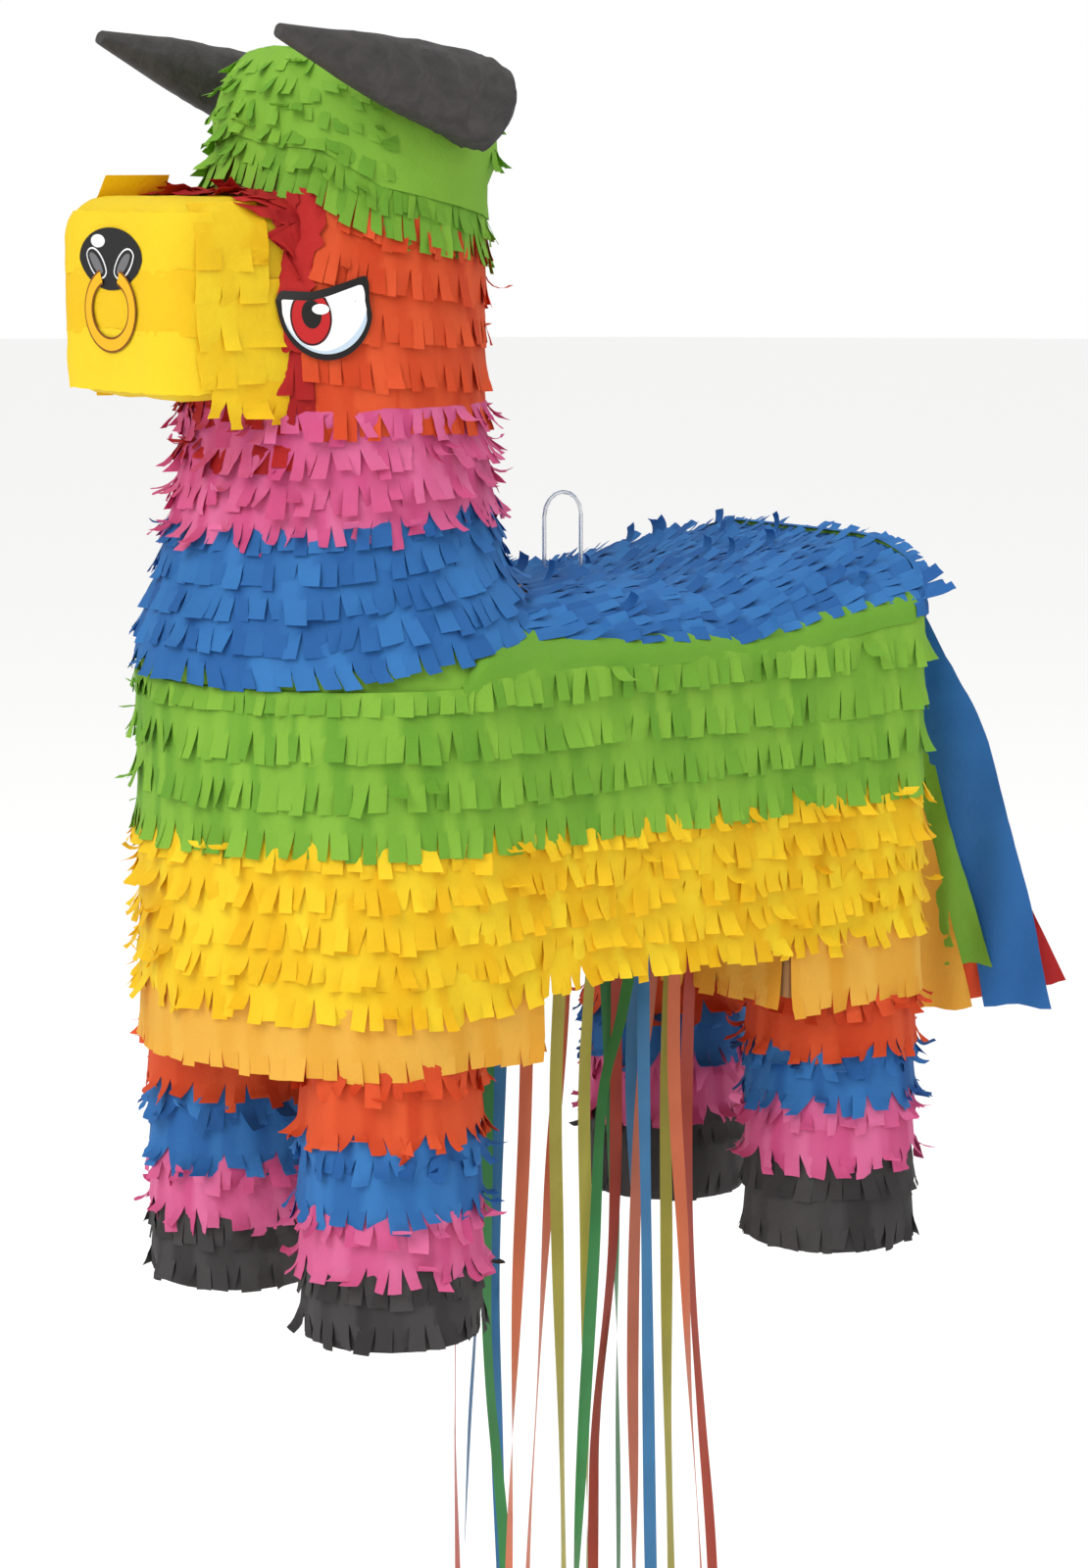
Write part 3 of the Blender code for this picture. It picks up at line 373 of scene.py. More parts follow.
INKS = {
    "black": printed("black_printing_ink", "#1E1C1C"),
    "white": printed("white_sticker_paper", "#EEF0F2"),
    "pale": printed("pale_blue_printing_ink", "#BFD0DF"),
    "red": printed("red_printing_ink", "#B92326"),
    "deep": printed("dark_red_printing_ink", "#3E0E10"),
    "gold": printed("gold_printing_ink", "#F3AE14"),
    "brown": printed("brown_printing_ink", "#7A4A08"),
    "grey": printed("grey_printing_ink", "#6C6B6E"),
}


def rumple(*place):
    """Smooth noise between -1 and 1."""
    return max(-1.0, min(1.0, noise.noise(Vector(place))))


# ---- curved walls that the paper is pasted on --------------------------------------------
def between(table, position, column):
    """Straight-line reading of one column of a table sorted by its first column."""
    for low, high in zip(table, table[1:]):
        if position <= high[0]:
            share = max(0.0, (position - low[0]) / (high[0] - low[0]))
            return low[column] + share * (high[column] - low[column])
    return table[-1][column]


def ease(value, low, high):
    """0 below low, 1 above high, smooth between."""
    share = min(1.0, max(0.0, (value - low) / (high - low)))
    return share * share * (3 - 2 * share)


def arch(x):
    """How far the back falls from its crown to a place x across it, and its slope there."""
    reach = max(0.0, abs(x) - FLAT_HALF) / (HALF_WIDTH - FLAT_HALF)
    slope = EDGE_DROP * 2.5 * reach ** 1.5 / (HALF_WIDTH - FLAT_HALF)
    return EDGE_DROP * reach ** 2.5, math.copysign(slope, x)


def back_height(x, y):
    return between(BACK_CROWN, y, 1) - arch(x)[0]


CHEST_RUN = HALF_WIDTH * math.pi / 2
FLANK_RUN = RUMP_Y - RUMP_CORNER - CHEST_AXIS_Y
CORNER_RUN = RUMP_CORNER * math.pi / 2
RUMP_RUN = HALF_WIDTH - RUMP_CORNER
HALF_RUN = CHEST_RUN + FLANK_RUN + CORNER_RUN + RUMP_RUN


def flank_run(y):
    """Run round the trunk, from the middle of the chest, to a place on the flank."""
    return CHEST_RUN + y - CHEST_AXIS_Y


def leg_bulge(run):
    """How far the fringe over a leg stands out past the plain trunk."""
    left = abs(run)
    if left < CHEST_RUN:
        leg = Vector((LEG_X, -LEG_Y - CHEST_AXIS_Y))
        direction = Vector((math.sin(left / HALF_WIDTH), -math.cos(left / HALF_WIDTH)))
        reach = HALF_WIDTH
    elif left > HALF_RUN - RUMP_RUN:
        leg, direction, reach = Vector((LEG_X - HALF_RUN + left, LEG_Y)), Vector((0, 1)), RUMP_Y
    else:
        return 0.0
    ahead = leg.dot(direction)
    beside = (leg - direction * ahead).length
    if beside > LEG_RADIUS:
        return 0.0
    return max(0.0, ahead + math.sqrt(LEG_RADIUS ** 2 - beside ** 2) - reach)


def trunk_plan(run):
    """Place and outward direction on the trunk seen from above."""
    side = 1.0 if run >= 0 else -1.0
    left = abs(run)
    corner = RUMP_Y - RUMP_CORNER
    if left < CHEST_RUN:
        angle = left / HALF_WIDTH
        spot = (HALF_WIDTH * math.sin(angle), CHEST_AXIS_Y - HALF_WIDTH * math.cos(angle))
        away = (math.sin(angle), -math.cos(angle))
    elif left < CHEST_RUN + FLANK_RUN:
        spot, away = (HALF_WIDTH, CHEST_AXIS_Y + left - CHEST_RUN), (1.0, 0.0)
    elif left < CHEST_RUN + FLANK_RUN + CORNER_RUN:
        angle = (left - CHEST_RUN - FLANK_RUN) / RUMP_CORNER
        away = (math.cos(angle), math.sin(angle))
        spot = (RUMP_RUN + RUMP_CORNER * away[0], corner + RUMP_CORNER * away[1])
    else:
        spot, away = (max(0.0, HALF_RUN - left), RUMP_Y), (0.0, 1.0)
    return Vector((side * spot[0], spot[1], 0.0)), Vector((side * away[0], away[1], 0.0))


def shoulder(y):
    """0 on the chest's level top, 1 from where the higher back begins."""
    return ease(y, CHEST_AXIS_Y - 0.014, CHEST_AXIS_Y - 0.003)


def trunk_top(plan):
    """Height of the trunk's upper edge: level round the chest, arched behind it."""
    return CHEST_TOP + shoulder(plan.y) * (back_height(plan.x, plan.y) - CHEST_TOP)


def trunk_wall(run, height, out):
    """The upright trunk wall, swelling over the legs and turning over the shoulder."""
    plan, away = trunk_plan(run)
    out += leg_bulge(run) * (1 - ease(height, *LEG_SWELL))
    top = trunk_top(plan)
    rise = max(0.0, height - top)
    base = plan - away * (COAT + 0.75 * rise)
    tilt = math.radians(50) * ease(height, top - 0.006, top + 0.008)
    level = min(height, top)
    if rise > 0:
        inner = plan - away * 0.75 * rise
        climb = back_height(inner.x, inner.y) - back_height(plan.x, plan.y)
        level += 0.15 * rise + shoulder(plan.y) * (climb - 0.15 * rise)
        level -= 0.0022 * ease(rise, 0.005, 0.011)
    normal = away * math.cos(tilt) + Vector((0.0, 0.0, math.sin(tilt)))
    return Vector((base.x, base.y, level)) + normal * out


ARCH_RUNS = [(0.0, 0.0)]
while ARCH_RUNS[-1][1] < HALF_WIDTH + 0.004:
    reached, across = ARCH_RUNS[-1]
    ARCH_RUNS.append((reached + 0.002 * math.hypot(1.0, arch(across + 0.001)[1]), across + 0.002))


def saddle_wall(run, level, out):
    """The top of the back.  run goes across it, and level falls towards the rump."""
    y = -level
    x = -math.copysign(between(ARCH_RUNS, abs(run), 1), run)
    slope = arch(x)[1]
    normal = Vector((slope, 0.0, 1.0)).normalized()
    return Vector((x, y, back_height(x, y) - COAT)) + normal * out


HEAD_TOP = HEAD_LEVELS[-1][0]
COLLAR_FLARE = 0.0050   # the collar's lowest rows stand out over the green below them


def head_ring(height):
    return between(HEAD_LEVELS, height, 1), between(HEAD_LEVELS, height, 2)


def neck_wall(run, height, out):
    """The neck and head; run is measured from straight ahead towards the bull's left."""
    angle = run / NECK_RUN_RADIUS
    centre, radius = head_ring(height)
    turn = math.atan2(math.sin(angle), math.cos(angle))
    beside = abs(abs(turn) - EYE_TURN) * radius
    if beside < EYE_HALF + 0.003 and EYE_LOW - 0.004 < height < EYE_HIGH + 0.003:
        out = min(out, PRESSED)
    reach = radius - COAT + out
    return Vector((reach * math.sin(angle), centre - reach * math.cos(angle), height))


def collar_wall(run, height, out):
    """The foot of the neck, its fringe standing out over the shoulder and the green."""
    angle = abs(math.degrees(run / NECK_RUN_RADIUS))
    shelf = 1 - ease(angle, 128, 142)
    shoulder_swell = 1 + 0.9 * ease(angle, 62, 88)
    flare = COLLAR_FLARE * shoulder_swell * shelf * (1 - ease(height, 0.252, 0.288))
    return neck_wall(run, height, out + flare)


def neck_run(degrees):
    return math.radians(degrees) * NECK_RUN_RADIUS


def round_neck(table):
    """A height that changes with the angle from straight ahead, the same on both sides."""
    def height(run):
        turn = abs(math.degrees(run / NECK_RUN_RADIUS))
        return between(table, min(turn, 360 - turn), 1)
    return height


collar_edge = round_neck([(0, 0.2425), (30, 0.2410), (50, 0.2415), (65, 0.2440), (80, 0.2475),
                          (95, 0.2505), (110, 0.2535), (125, 0.2590), (180, 0.2640)])


def leg_wall(x, y):
    """The round wall of one leg; run starts at the side that faces ahead."""
    def wall(run, height, out):
        angle = run / LEG_RADIUS
        reach = LEG_RADIUS - COAT + out
        return Vector((x + reach * math.sin(angle), y - reach * math.cos(angle), height))
    return wall


MUZZLE_FLAT = MUZZLE_HALF - MUZZLE_ROUNDING
MUZZLE_SIDE = MUZZLE_FLAT + MUZZLE_ROUNDING * math.pi / 2   # run where the side begins


def round_corner(left):
    """From the middle of a muzzle face over its rounded edge: the place across, the depth
    behind the face, and how far the outward direction has turned, as sine and cosine."""
    if left < MUZZLE_FLAT:
        return left, 0.0, 0.0, 1.0
    if left < MUZZLE_SIDE:
        angle = (left - MUZZLE_FLAT) / MUZZLE_ROUNDING
        sine, cosine = math.sin(angle), math.cos(angle)
        return MUZZLE_FLAT + MUZZLE_ROUNDING * sine, MUZZLE_ROUNDING * (1 - cosine), sine, cosine
    return MUZZLE_HALF, MUZZLE_ROUNDING + left - MUZZLE_SIDE, 1.0, 0.0


def muzzle_plan(run):
    side = 1.0 if run >= 0 else -1.0
    across, depth, sine, cosine = round_corner(abs(run))
    return (Vector((side * across + MUZZLE_SHIFT, MUZZLE_FRONT + depth, 0.0)),
            Vector((side * sine, -cosine, 0.0)))


def muzzle_wall(run, height, out):
    """The upright faces of the muzzle; run starts at the middle of its front."""
    plan, away = muzzle_plan(run)
    over = max(0.0, height - MUZZLE_TOP + MUZZLE_ROUNDING,
               0.4 * (MUZZLE_FOOT + MUZZLE_ROUNDING - height))
    over = min(MUZZLE_ROUNDING, over)
    inset = MUZZLE_ROUNDING - math.sqrt(MUZZLE_ROUNDING ** 2 - over ** 2)
    spot = plan + away * (out - inset)
    return Vector((spot.x, spot.y, height))


def hood_wall(run, level, out):
    """The muzzle from above: run goes from the middle of its top down either side, and
    level falls towards the front."""
    side = -1.0 if run >= 0 else 1.0
    across, depth, sine, cosine = round_corner(abs(run))
    return Vector((side * (across + sine * out) + MUZZLE_SHIFT, level,
                   MUZZLE_TOP - depth + cosine * out))


# ---- paper work ------------------------------------------------------------------------
def at(value, where):
    """A size that may change along a row."""
    return value(where) if callable(value) else value


def start_sheet():
    """An empty mesh that carries each flap's tone and a flat map of the paper."""
    work = bmesh.new()
    work.verts.layers.float.new("tone")
    work.loops.layers.uv.new("paper")
    return work


def faces_of(verts):
    return {face for vert in verts for face in vert.link_faces}


def style(**changes):
    """How one kind of fringe is cut and ruffled; angles in degrees as (middle, spread)."""
    made = {"width": 0.0062, "uneven": 0.35, "ragged": 0.10, "curl": (10, 14),
            "lift": (5, 5), "twist": (0, 16), "lean": (0, 5), "stray": 0.02,
            "crumple": 0.0003, "wave": 0.0004, "out": 0.0008}
    made.update(changes)
    return made


def map_flat(faces, paper, flat):
    """Writes the flat map: each vertex's place on the uncut paper."""
    for face in faces:
        for loop in face.loops:
            loop[paper].uv = flat[loop.vert]


class Flap:
    """The random cut and ruffle of one flap."""

    def __init__(self, draw, ruffle):
        def around(pair):
            return math.radians(pair[0] + draw.gauss(0.0, 1.0) * pair[1])
        self.curl = around(ruffle["curl"])
        self.lift = max(-0.02, around(ruffle["lift"]))
        self.twist = around(ruffle["twist"])
        self.lean = around(ruffle["lean"])
        self.longer = 1 + draw.uniform(-1, 1) * ruffle["ragged"]
        self.tone = draw.random()
        if draw.random() < ruffle["stray"]:
            self.curl += math.radians(draw.uniform(40, 110))
            self.lift += math.radians(draw.uniform(5, 25))
        if abs(self.curl) < 0.02:
            self.curl = 0.02


def fringe(work, draw, wall, run, top, tip, cut, ruffle):
    """One strip of tissue, pasted along its upper edge and cut into flaps below it."""
    tones = work.verts.layers.float["tone"]
    paper = work.loops.layers.uv["paper"]
    start, end = run
    count = max(1, round((end - start) / ruffle["width"]))
    widths = [draw.uniform(1 - ruffle["uneven"], 1 + ruffle["uneven"]) for _ in range(count)]
    sides = [start]
    for width in widths:
        sides.append(sides[-1] + (end - start) * width / sum(widths))
    flaps = [Flap(draw, ruffle) for _ in range(count)]
    seed = draw.uniform(0, 50)
    made = bmesh.ops.create_grid(work, x_segments=count * ACROSS, y_segments=DOWN, size=0.5)
    faces = faces_of(made["verts"])

    def cell(vert):
        return round((vert.co.x + 0.5) * count * ACROSS), round((0.5 - vert.co.y) * DOWN)
    cuts = []
    for edge in {edge for face in faces for edge in face.edges}:
        (column, row), (other, below) = cell(edge.verts[0]), cell(edge.verts[1])
        inner = 0 < column < count * ACROSS and column % ACROSS == 0
        if column == other and inner and min(row, below) >= BAND:
            cuts.append(edge)
    bmesh.ops.split_edges(work, edges=cuts)
    owner = {}
    for face in faces:
        flap = int((face.calc_center_median().x + 0.5) * count)
        for vert in face.verts:
            owner[vert] = (flap, *cell(vert))
    flat = {}
    for vert, (number, column, row) in owner.items():
        flap = flaps[number]
        side = column / ACROSS - number
        along = sides[number] + (sides[number + 1] - sides[number]) * side
        upper, lower = at(top, along), at(tip, along)
        hinge = min(upper - 0.002, lower + cut)
        ripple = ruffle["wave"] * (1 + rumple(along * 70, seed, 0.0))
        if row <= BAND:
            share = row / BAND
            level = upper + (hinge - upper) * share
            out = 0.0002 + (ruffle["out"] + ripple) * share
        else:
            share = (row - BAND) / (DOWN - BAND)
            length = (hinge - lower) * flap.longer
            bend = flap.curl * share
            fall = length * math.sin(bend) / flap.curl
            away = length * (1 - math.cos(bend)) / flap.curl
            drop = fall * math.cos(flap.lift) - away * math.sin(flap.lift)
            out = fall * math.sin(flap.lift) + away * math.cos(flap.lift)
            half = (side - 0.5) * (sides[number + 1] - sides[number])
            turned = flap.twist * share
            along += half * (math.cos(turned) - 1) + drop * math.tan(flap.lean)
            out += half * math.sin(turned) + ruffle["out"] + ripple + 0.0002
            out += 2 * ruffle["crumple"] * share * rumple(along * 260, lower * 50 + share * 3, seed)
            level = hinge - drop
        vert.co = wall(along, level, max(0.0001, out))
        vert[tones] = flap.tone
        flat[vert] = (along, -level)
    map_flat(faces, paper, flat)


def rows(work, draw, wall, run, lowest, highest, count, cut, ruffle):
    """Rows from the lowest up between two edges; each row's flaps hang over the uncut
    band of the row below."""
    for number in range(count):
        def edge(where, share):
            return at(lowest, where) + share * (at(highest, where) - at(lowest, where))

        def tip(where, share=number / count):
            return edge(where, share)

        def top(where, share=(number + 1) / count, cover=cut + LAP):
            return edge(where, share) + (cover if share < 1 else 0.0)
        fringe(work, draw, wall, run, top, tip, cut, ruffle)


def stretch(side, near, far):
    """A stretch of run on one side, mirrored for the other."""
    return sorted((side * near, side * far))


def pasted(work, draw, wall, run, top, tip, cell=0.003, crumple=0.0006, out=0.001, ragged=0.0):
    """One uncut sheet pasted down with soft creases, its edges torn a little."""
    tones = work.verts.layers.float["tone"]
    paper = work.loops.layers.uv["paper"]
    start, end = run
    middle = (start + end) / 2
    columns = max(2, round((end - start) / cell))
    levels = max(2, round(abs(at(top, middle) - at(tip, middle)) / cell))
    seed, tone = draw.uniform(0, 50), draw.random()
    made = bmesh.ops.create_grid(work, x_segments=columns, y_segments=levels, size=0.5)["verts"]
    flat = {}
    for vert in made:
        across, down = vert.co.x + 0.5, 0.5 - vert.co.y
        along = start + (end - start) * across
        upper, lower = at(top, along), at(tip, along)
        level = upper + (lower - upper) * down
        edge = min(down, 1 - down, across, 1 - across)
        if edge < 0.01:
            level += ragged * rumple(along * 400, level * 400, seed)
            along += ragged * rumple(level * 400, along * 400, seed + 9)
        fold = 0.5 - 1.8 * abs(rumple(along * 75, level * 50, seed))
        fold += 0.35 - 1.2 * abs(rumple(along * 170, level * 120, seed))
        vert.co = wall(along, level, out + crumple * max(-0.8, fold))
        vert[tones] = tone
        flat[vert] = (along, -level)
    map_flat(faces_of(made), paper, flat)


def settle(title, work, materials, body, stands_for=(), thickness=SHEET, sharp=40):
    """Gives a sheet its thickness and puts the finished piece in the model's frame."""
    if thickness:
        bmesh.ops.solidify(work, geom=work.faces[:], thickness=thickness)
        for vert in work.verts:     # a sharp fold can throw a point far out of the sheet
            if min((edge.calc_length() for edge in vert.link_edges), default=0) > LONGEST_EDGE:
                others = [edge.other_vert(vert).co for edge in vert.link_edges]
                vert.co = sum(others, Vector()) / len(others)
    if work.calc_volume(signed=True) < 0:
        bmesh.ops.reverse_faces(work, faces=work.faces[:])
    bmesh.ops.transform(work, matrix=Matrix.Translation(SOLES), verts=work.verts[:])
    mesh = bpy.data.meshes.new(title)
    work.to_mesh(mesh)
    work.free()
    for material in materials:
        mesh.materials.append(material)
    mesh.shade_smooth()
    mesh.set_sharp_from_angle(angle=math.radians(sharp))
    obj = place_object(title, mesh)
    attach(obj, body)
    if stands_for:
        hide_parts(*stands_for)
    return obj


def coat(title, colour, body, stands_for, lay):
    """A piece of fringe: lay(work, draw) pastes its strips."""
    work = start_sheet()
    lay(work, random.Random(title))
    return settle(title, work, [TISSUES[colour]], body, stands_for)


# ---- loose ribbons ---------------------------------------------------------------------
def smooth_route(points, spacing):
    """Even points on one smooth curve through a ribbon's own points."""
    knots = [Vector(point) for point in points]
    knots = [knots[0] * 2 - knots[1]] + knots + [knots[-1] * 2 - knots[-2]]
    dense = []
    for before, start, end, after in zip(knots, knots[1:], knots[2:], knots[3:]):
        for step in range(24):
            t = step / 24
            dense.append(0.5 * (2 * start + (end - before) * t
                                + (2 * before - 5 * start + 4 * end - after) * t * t
                                + (3 * start - before - 3 * end + after) * t ** 3))
    dense.append(knots[-2])
    total = sum((b - a).length for a, b in zip(dense, dense[1:]))
    count = max(2, round(total / spacing))
    even, run, index = [dense[0]], 0.0, 0
    for step in range(1, count):
        target = total * step / count
        while run + (dense[index + 1] - dense[index]).length < target:
            run += (dense[index + 1] - dense[index]).length
            index += 1
        leg = dense[index + 1] - dense[index]
        even.append(dense[index] + leg * ((target - run) / leg.length))
    return even + [dense[-1]]


def make_ribbon(title, colour, route, body, draw):
    """A flat ribbon that turns slowly about its own line as it hangs."""
    work = start_sheet()
    tones = work.verts.layers.float["tone"]
    paper = work.loops.layers.uv["paper"]
    steps = len(route) - 1
    made = bmesh.ops.create_grid(work, x_segments=2, y_segments=steps, size=0.5)["verts"]
    facing = draw.uniform(20, 75)
    turns = draw.choice((-1, 1)) * draw.uniform(60, 190)
    phase = draw.uniform(0, 6.3)
    flat = {}
    for vert in made:
        step = round((0.5 - vert.co.y) * steps)
        share = step / steps
        angle = math.radians(facing + turns * max(0.0, share - 0.06)
                             + 28 * math.sin(share * 9 + phase))
        across = Vector((math.cos(angle), math.sin(angle), 0.0))
        flat[vert] = (vert.co.x * RIBBON_WIDTH, share * 0.42)
        vert.co = route[step] + across * (vert.co.x * RIBBON_WIDTH)
        vert[tones] = 0.5
    map_flat(work.faces, paper, flat)
    ribbon = settle(title, work, [RIBBON_COLOURS[colour]], body, [title],
                    thickness=RIBBON_SHEET)
    length = sum((b - a).length for a, b in zip(route, route[1:]))
    Vector(route[0]) + SOLES


def make_ribbons():
    draw = random.Random("ribbons")
    for name, points in RIBBON_PATHS.items():
        title, colour = "ribbon_" + name, name.split("_")[0]
        route = smooth_route(points, RIBBON_STEP)
        tuck = [Vector(points[0]) + Vector((0.0, 0.0, RIBBON_TUCK * share))
                for share in (1.0, 0.75, 0.5, 0.25)]
        make_ribbon(title, colour, tuck + route, title, draw)
    make_ribbon("pull_ribbon", "green", smooth_route(PULL_RIBBON, RIBBON_STEP), "pull_ribbon", draw)


make_ribbons()


# ---- trunk fringe ------------------------------------------------------------------------
NEAT = style(curl=(6, 9), lift=(6, 4), twist=(6, 17), lean=(-3, 4), width=0.0054)
SHAGGY = style(curl=(14, 22), lift=(8, 7), twist=(0, 22), lean=(0, 8), ragged=0.2, stray=0.06,
               crumple=0.0006, width=0.0058)
TRUNK_CUT = 0.0115


def upper_green(run):
    """Upper edge of the plain green band: under the collar in front, and over the
    shoulder to the saddle's edge behind."""
    plan, _ = trunk_plan(run)
    edges = [(-0.108, 0.003), (-0.096, 0.006), (-0.086, 0.012), (-0.076, 0.026),
             (-0.066, 0.038), (-0.044, 0.024), (-0.016, 0.017), (0.122, 0.015)]
    return trunk_top(plan) + between(edges, plan.y, 1)


def lay_green(work, draw):
    """Four even rows, broken at the filler flap, and a plain band above them that goes
    round under the collar and over the shoulder."""
    hatch = (-flank_run(FLAP_HIGH.y) - 0.0004, -flank_run(FLAP_LOW.y) + 0.0004)
    for number in range(3):
        tip = YELLOW_TOP + number * ROW
        for run in [(-HALF_RUN, hatch[0]), (hatch[1], HALF_RUN)]:
            fringe(work, draw, trunk_wall, run, tip + ROW + TRUNK_CUT + LAP, tip, TRUNK_CUT,
                   NEAT)
        if number == 0:
            fringe(work, draw, trunk_wall, hatch, FLAP_LOW.z - 0.0005, tip, 0.0085, NEAT)
    whole = (-HALF_RUN, HALF_RUN)

    def brim(run):
        return trunk_top(trunk_plan(run)[0]) + 0.001
    fringe(work, draw, trunk_wall, whole, brim, YELLOW_TOP + 3 * ROW, TRUNK_CUT, NEAT)
    pasted(work, draw, trunk_wall, hatch, YELLOW_TOP + 3 * ROW + 0.010, FLAP_HIGH.z + 0.0003,
           crumple=0.0001, out=0.0003)
    front = (neck_run(-100), neck_run(100))
    pasted(work, draw, collar_wall, front, lambda run: collar_edge(run) + 0.0050, 0.2390,
           crumple=0.0003, out=-0.0012)
    for side in (-1, 1):
        ends = stretch(side, CHEST_RUN - 0.014, CHEST_RUN + FLANK_RUN + 0.006)
        pasted(work, draw, trunk_wall, ends, upper_green, lambda run: brim(run) - 0.006,
               crumple=0.0003, out=0.0014)
    for side in (-1, 1):
        ends = stretch(side, HALF_RUN - RUMP_RUN - 0.012, HALF_RUN)
        fringe(work, draw, trunk_wall, ends, lambda run: trunk_top(trunk_plan(run)[0]) - 0.002,
               YELLOW_TOP + 4 * ROW, TRUNK_CUT, NEAT)


def lay_yellow(work, draw):
    """Five rows; the lowest follows the arch of the belly and hangs a little below it."""
    def lowest(run):
        low = 0.1245 + 0.0015 * math.sin(run * 37)
        return low - 0.0045 * (1 - ease(abs(run), CHEST_RUN - 0.02, CHEST_RUN + 0.03))
    rows(work, draw, trunk_wall, (-HALF_RUN, HALF_RUN), lowest, YELLOW_TOP + 0.0090, 5, 0.0095,
         SHAGGY)


def lay_filler_patch(work, draw):
    run = (-flank_run(FLAP_HIGH.y) + 0.0002, -flank_run(FLAP_LOW.y) - 0.0002)
    fringe(work, draw, trunk_wall, run, YELLOW_TOP + 2 * ROW + TRUNK_CUT, FLAP_LOW.z + 0.0006,
           TRUNK_CUT, NEAT)
    fringe(work, draw, trunk_wall, run, FLAP_HIGH.z, YELLOW_TOP + 2 * ROW, TRUNK_CUT, NEAT)


SADDLE_EDGE = [(-0.068, 0.064), (-0.044, 0.075), (-0.016, 0.0806), (0.140, 0.0806)]


def arch_run(x):
    """Length over the arched back from its crown to a place x across it."""
    for (low_run, low), (high_run, high) in zip(ARCH_RUNS, ARCH_RUNS[1:]):
        if x <= high:
            return low_run + (high_run - low_run) * (x - low) / (high - low)
    return ARCH_RUNS[-1][0]


def lay_saddle(work, draw):
    """Strips across the back with their flaps towards the rump, rump end first, then a
    short fringe down over the top of the rump."""
    ruffle = style(curl=(8, 10), lift=(7, 5), twist=(0, 16), lean=(0, 4), width=0.0044,
                   ragged=0.14, stray=0.02, crumple=0.0004)
    corner = HALF_RUN - RUMP_RUN - 0.028

    def hem(run):
        hang = 0.004 + 0.008 * ease(abs(run), corner, corner + 0.020)
        return trunk_top(trunk_plan(run)[0]) - hang
    for side in (-1, 1):
        ends = stretch(side, corner, HALF_RUN)
        fringe(work, draw, trunk_wall, ends, lambda run: trunk_top(trunk_plan(run)[0]) + 0.003,
               hem, 0.009, NEAT)
    pitch, cover = 0.0112, 0.0105
    tip = RUMP_Y + 0.004
    while tip > -0.058:
        front = tip - pitch - cover
        edge = arch_run(between(SADDLE_EDGE, tip - pitch / 2, 1))
        centre, radius = head_ring(0.266)
        reach = radius ** 2 - max(0.0, front - centre) ** 2 if front < centre + radius else 0.0
        start = math.sqrt(reach) - 0.004 if reach > 0 else 0.0
        if start > 0.01:
            ends = [(start, edge), (-edge, -start)]
        else:
            ends = [(-edge, edge)]
        for run in ends:
            if run[1] - run[0] > 0.006:
                fringe(work, draw, saddle_wall, run, -front, -tip, 0.009, ruffle)
        tip -= pitch


def make_trunk():
    coat("green_flank_fringe", "green", "carcass", ["tissue_flank_green"], lay_green)
    coat("yellow_flank_fringe", "yellow", "carcass", ["tissue_flank_yellow"], lay_yellow)
    coat("blue_saddle_fringe", "blue", "carcass", ["tissue_saddle"], lay_saddle)
    coat("filler_flap_fringe", "green", "filler_flap", ["filler_flap_tissue"],
         lay_filler_patch)


# ---- skirts and legs -----------------------------------------------------------------------
SKIRT = style(curl=(3, 7), lift=(2, 3), twist=(0, 9), lean=(0, 4), width=0.0070, ragged=0.18,
              stray=0.01, wave=0.0007)


def riser_wall(y, facing):
    """The low upright wall between the legs, at either end of the belly."""
    def wall(run, height, out):
        return Vector((-facing * run, y + facing * out, height))
    return wall


def lay_front_skirt(work, draw):
    end = flank_run(FRONT_RISER_Y)
    fringe(work, draw, trunk_wall, (-end, end), BELLY_Z + 0.006, SKIRT_EDGE - 0.001,
           0.0085, SKIRT)
    half = HALF_WIDTH - 0.006
    fringe(work, draw, riser_wall(FRONT_RISER_Y + 0.0004, 1), (-half, half), BELLY_Z - 0.001,
           SKIRT_EDGE + 0.002, 0.0085, SKIRT)


def lay_rear_skirt(work, draw):
    for side in (-1, 1):
        ends = stretch(side, flank_run(REAR_RISER_Y), HALF_RUN)
        fringe(work, draw, trunk_wall, ends, BELLY_Z + 0.006, SKIRT_EDGE - 0.001, 0.0085, SKIRT)
    half = HALF_WIDTH - 0.006
    fringe(work, draw, riser_wall(REAR_RISER_Y - 0.0004, -1), (-half, half), BELLY_Z - 0.001,
           SKIRT_EDGE + 0.002, 0.0085, SKIRT)


LEG_BANDS = {   # colour, lower edge and upper edge of each band, two rows each
    "front": [("orange", 0.073, 0.114), ("blue", 0.046, 0.083), ("pink", 0.024, 0.056)],
    "rear": [("orange", 0.077, 0.112), ("blue", 0.056, 0.087), ("pink", 0.032, 0.066)],
}
RUFFLED = style(curl=(16, 34), lift=(9, 9), twist=(0, 30), lean=(0, 13), ragged=0.3,
                stray=0.09, crumple=0.0009, wave=0.0009, width=0.0058)
HOOF = style(curl=(3, 15), lift=(2, 5), twist=(0, 16), lean=(0, 8), ragged=0.15, stray=0.04,
             crumple=0.0006, wave=0.0006, width=0.0060)


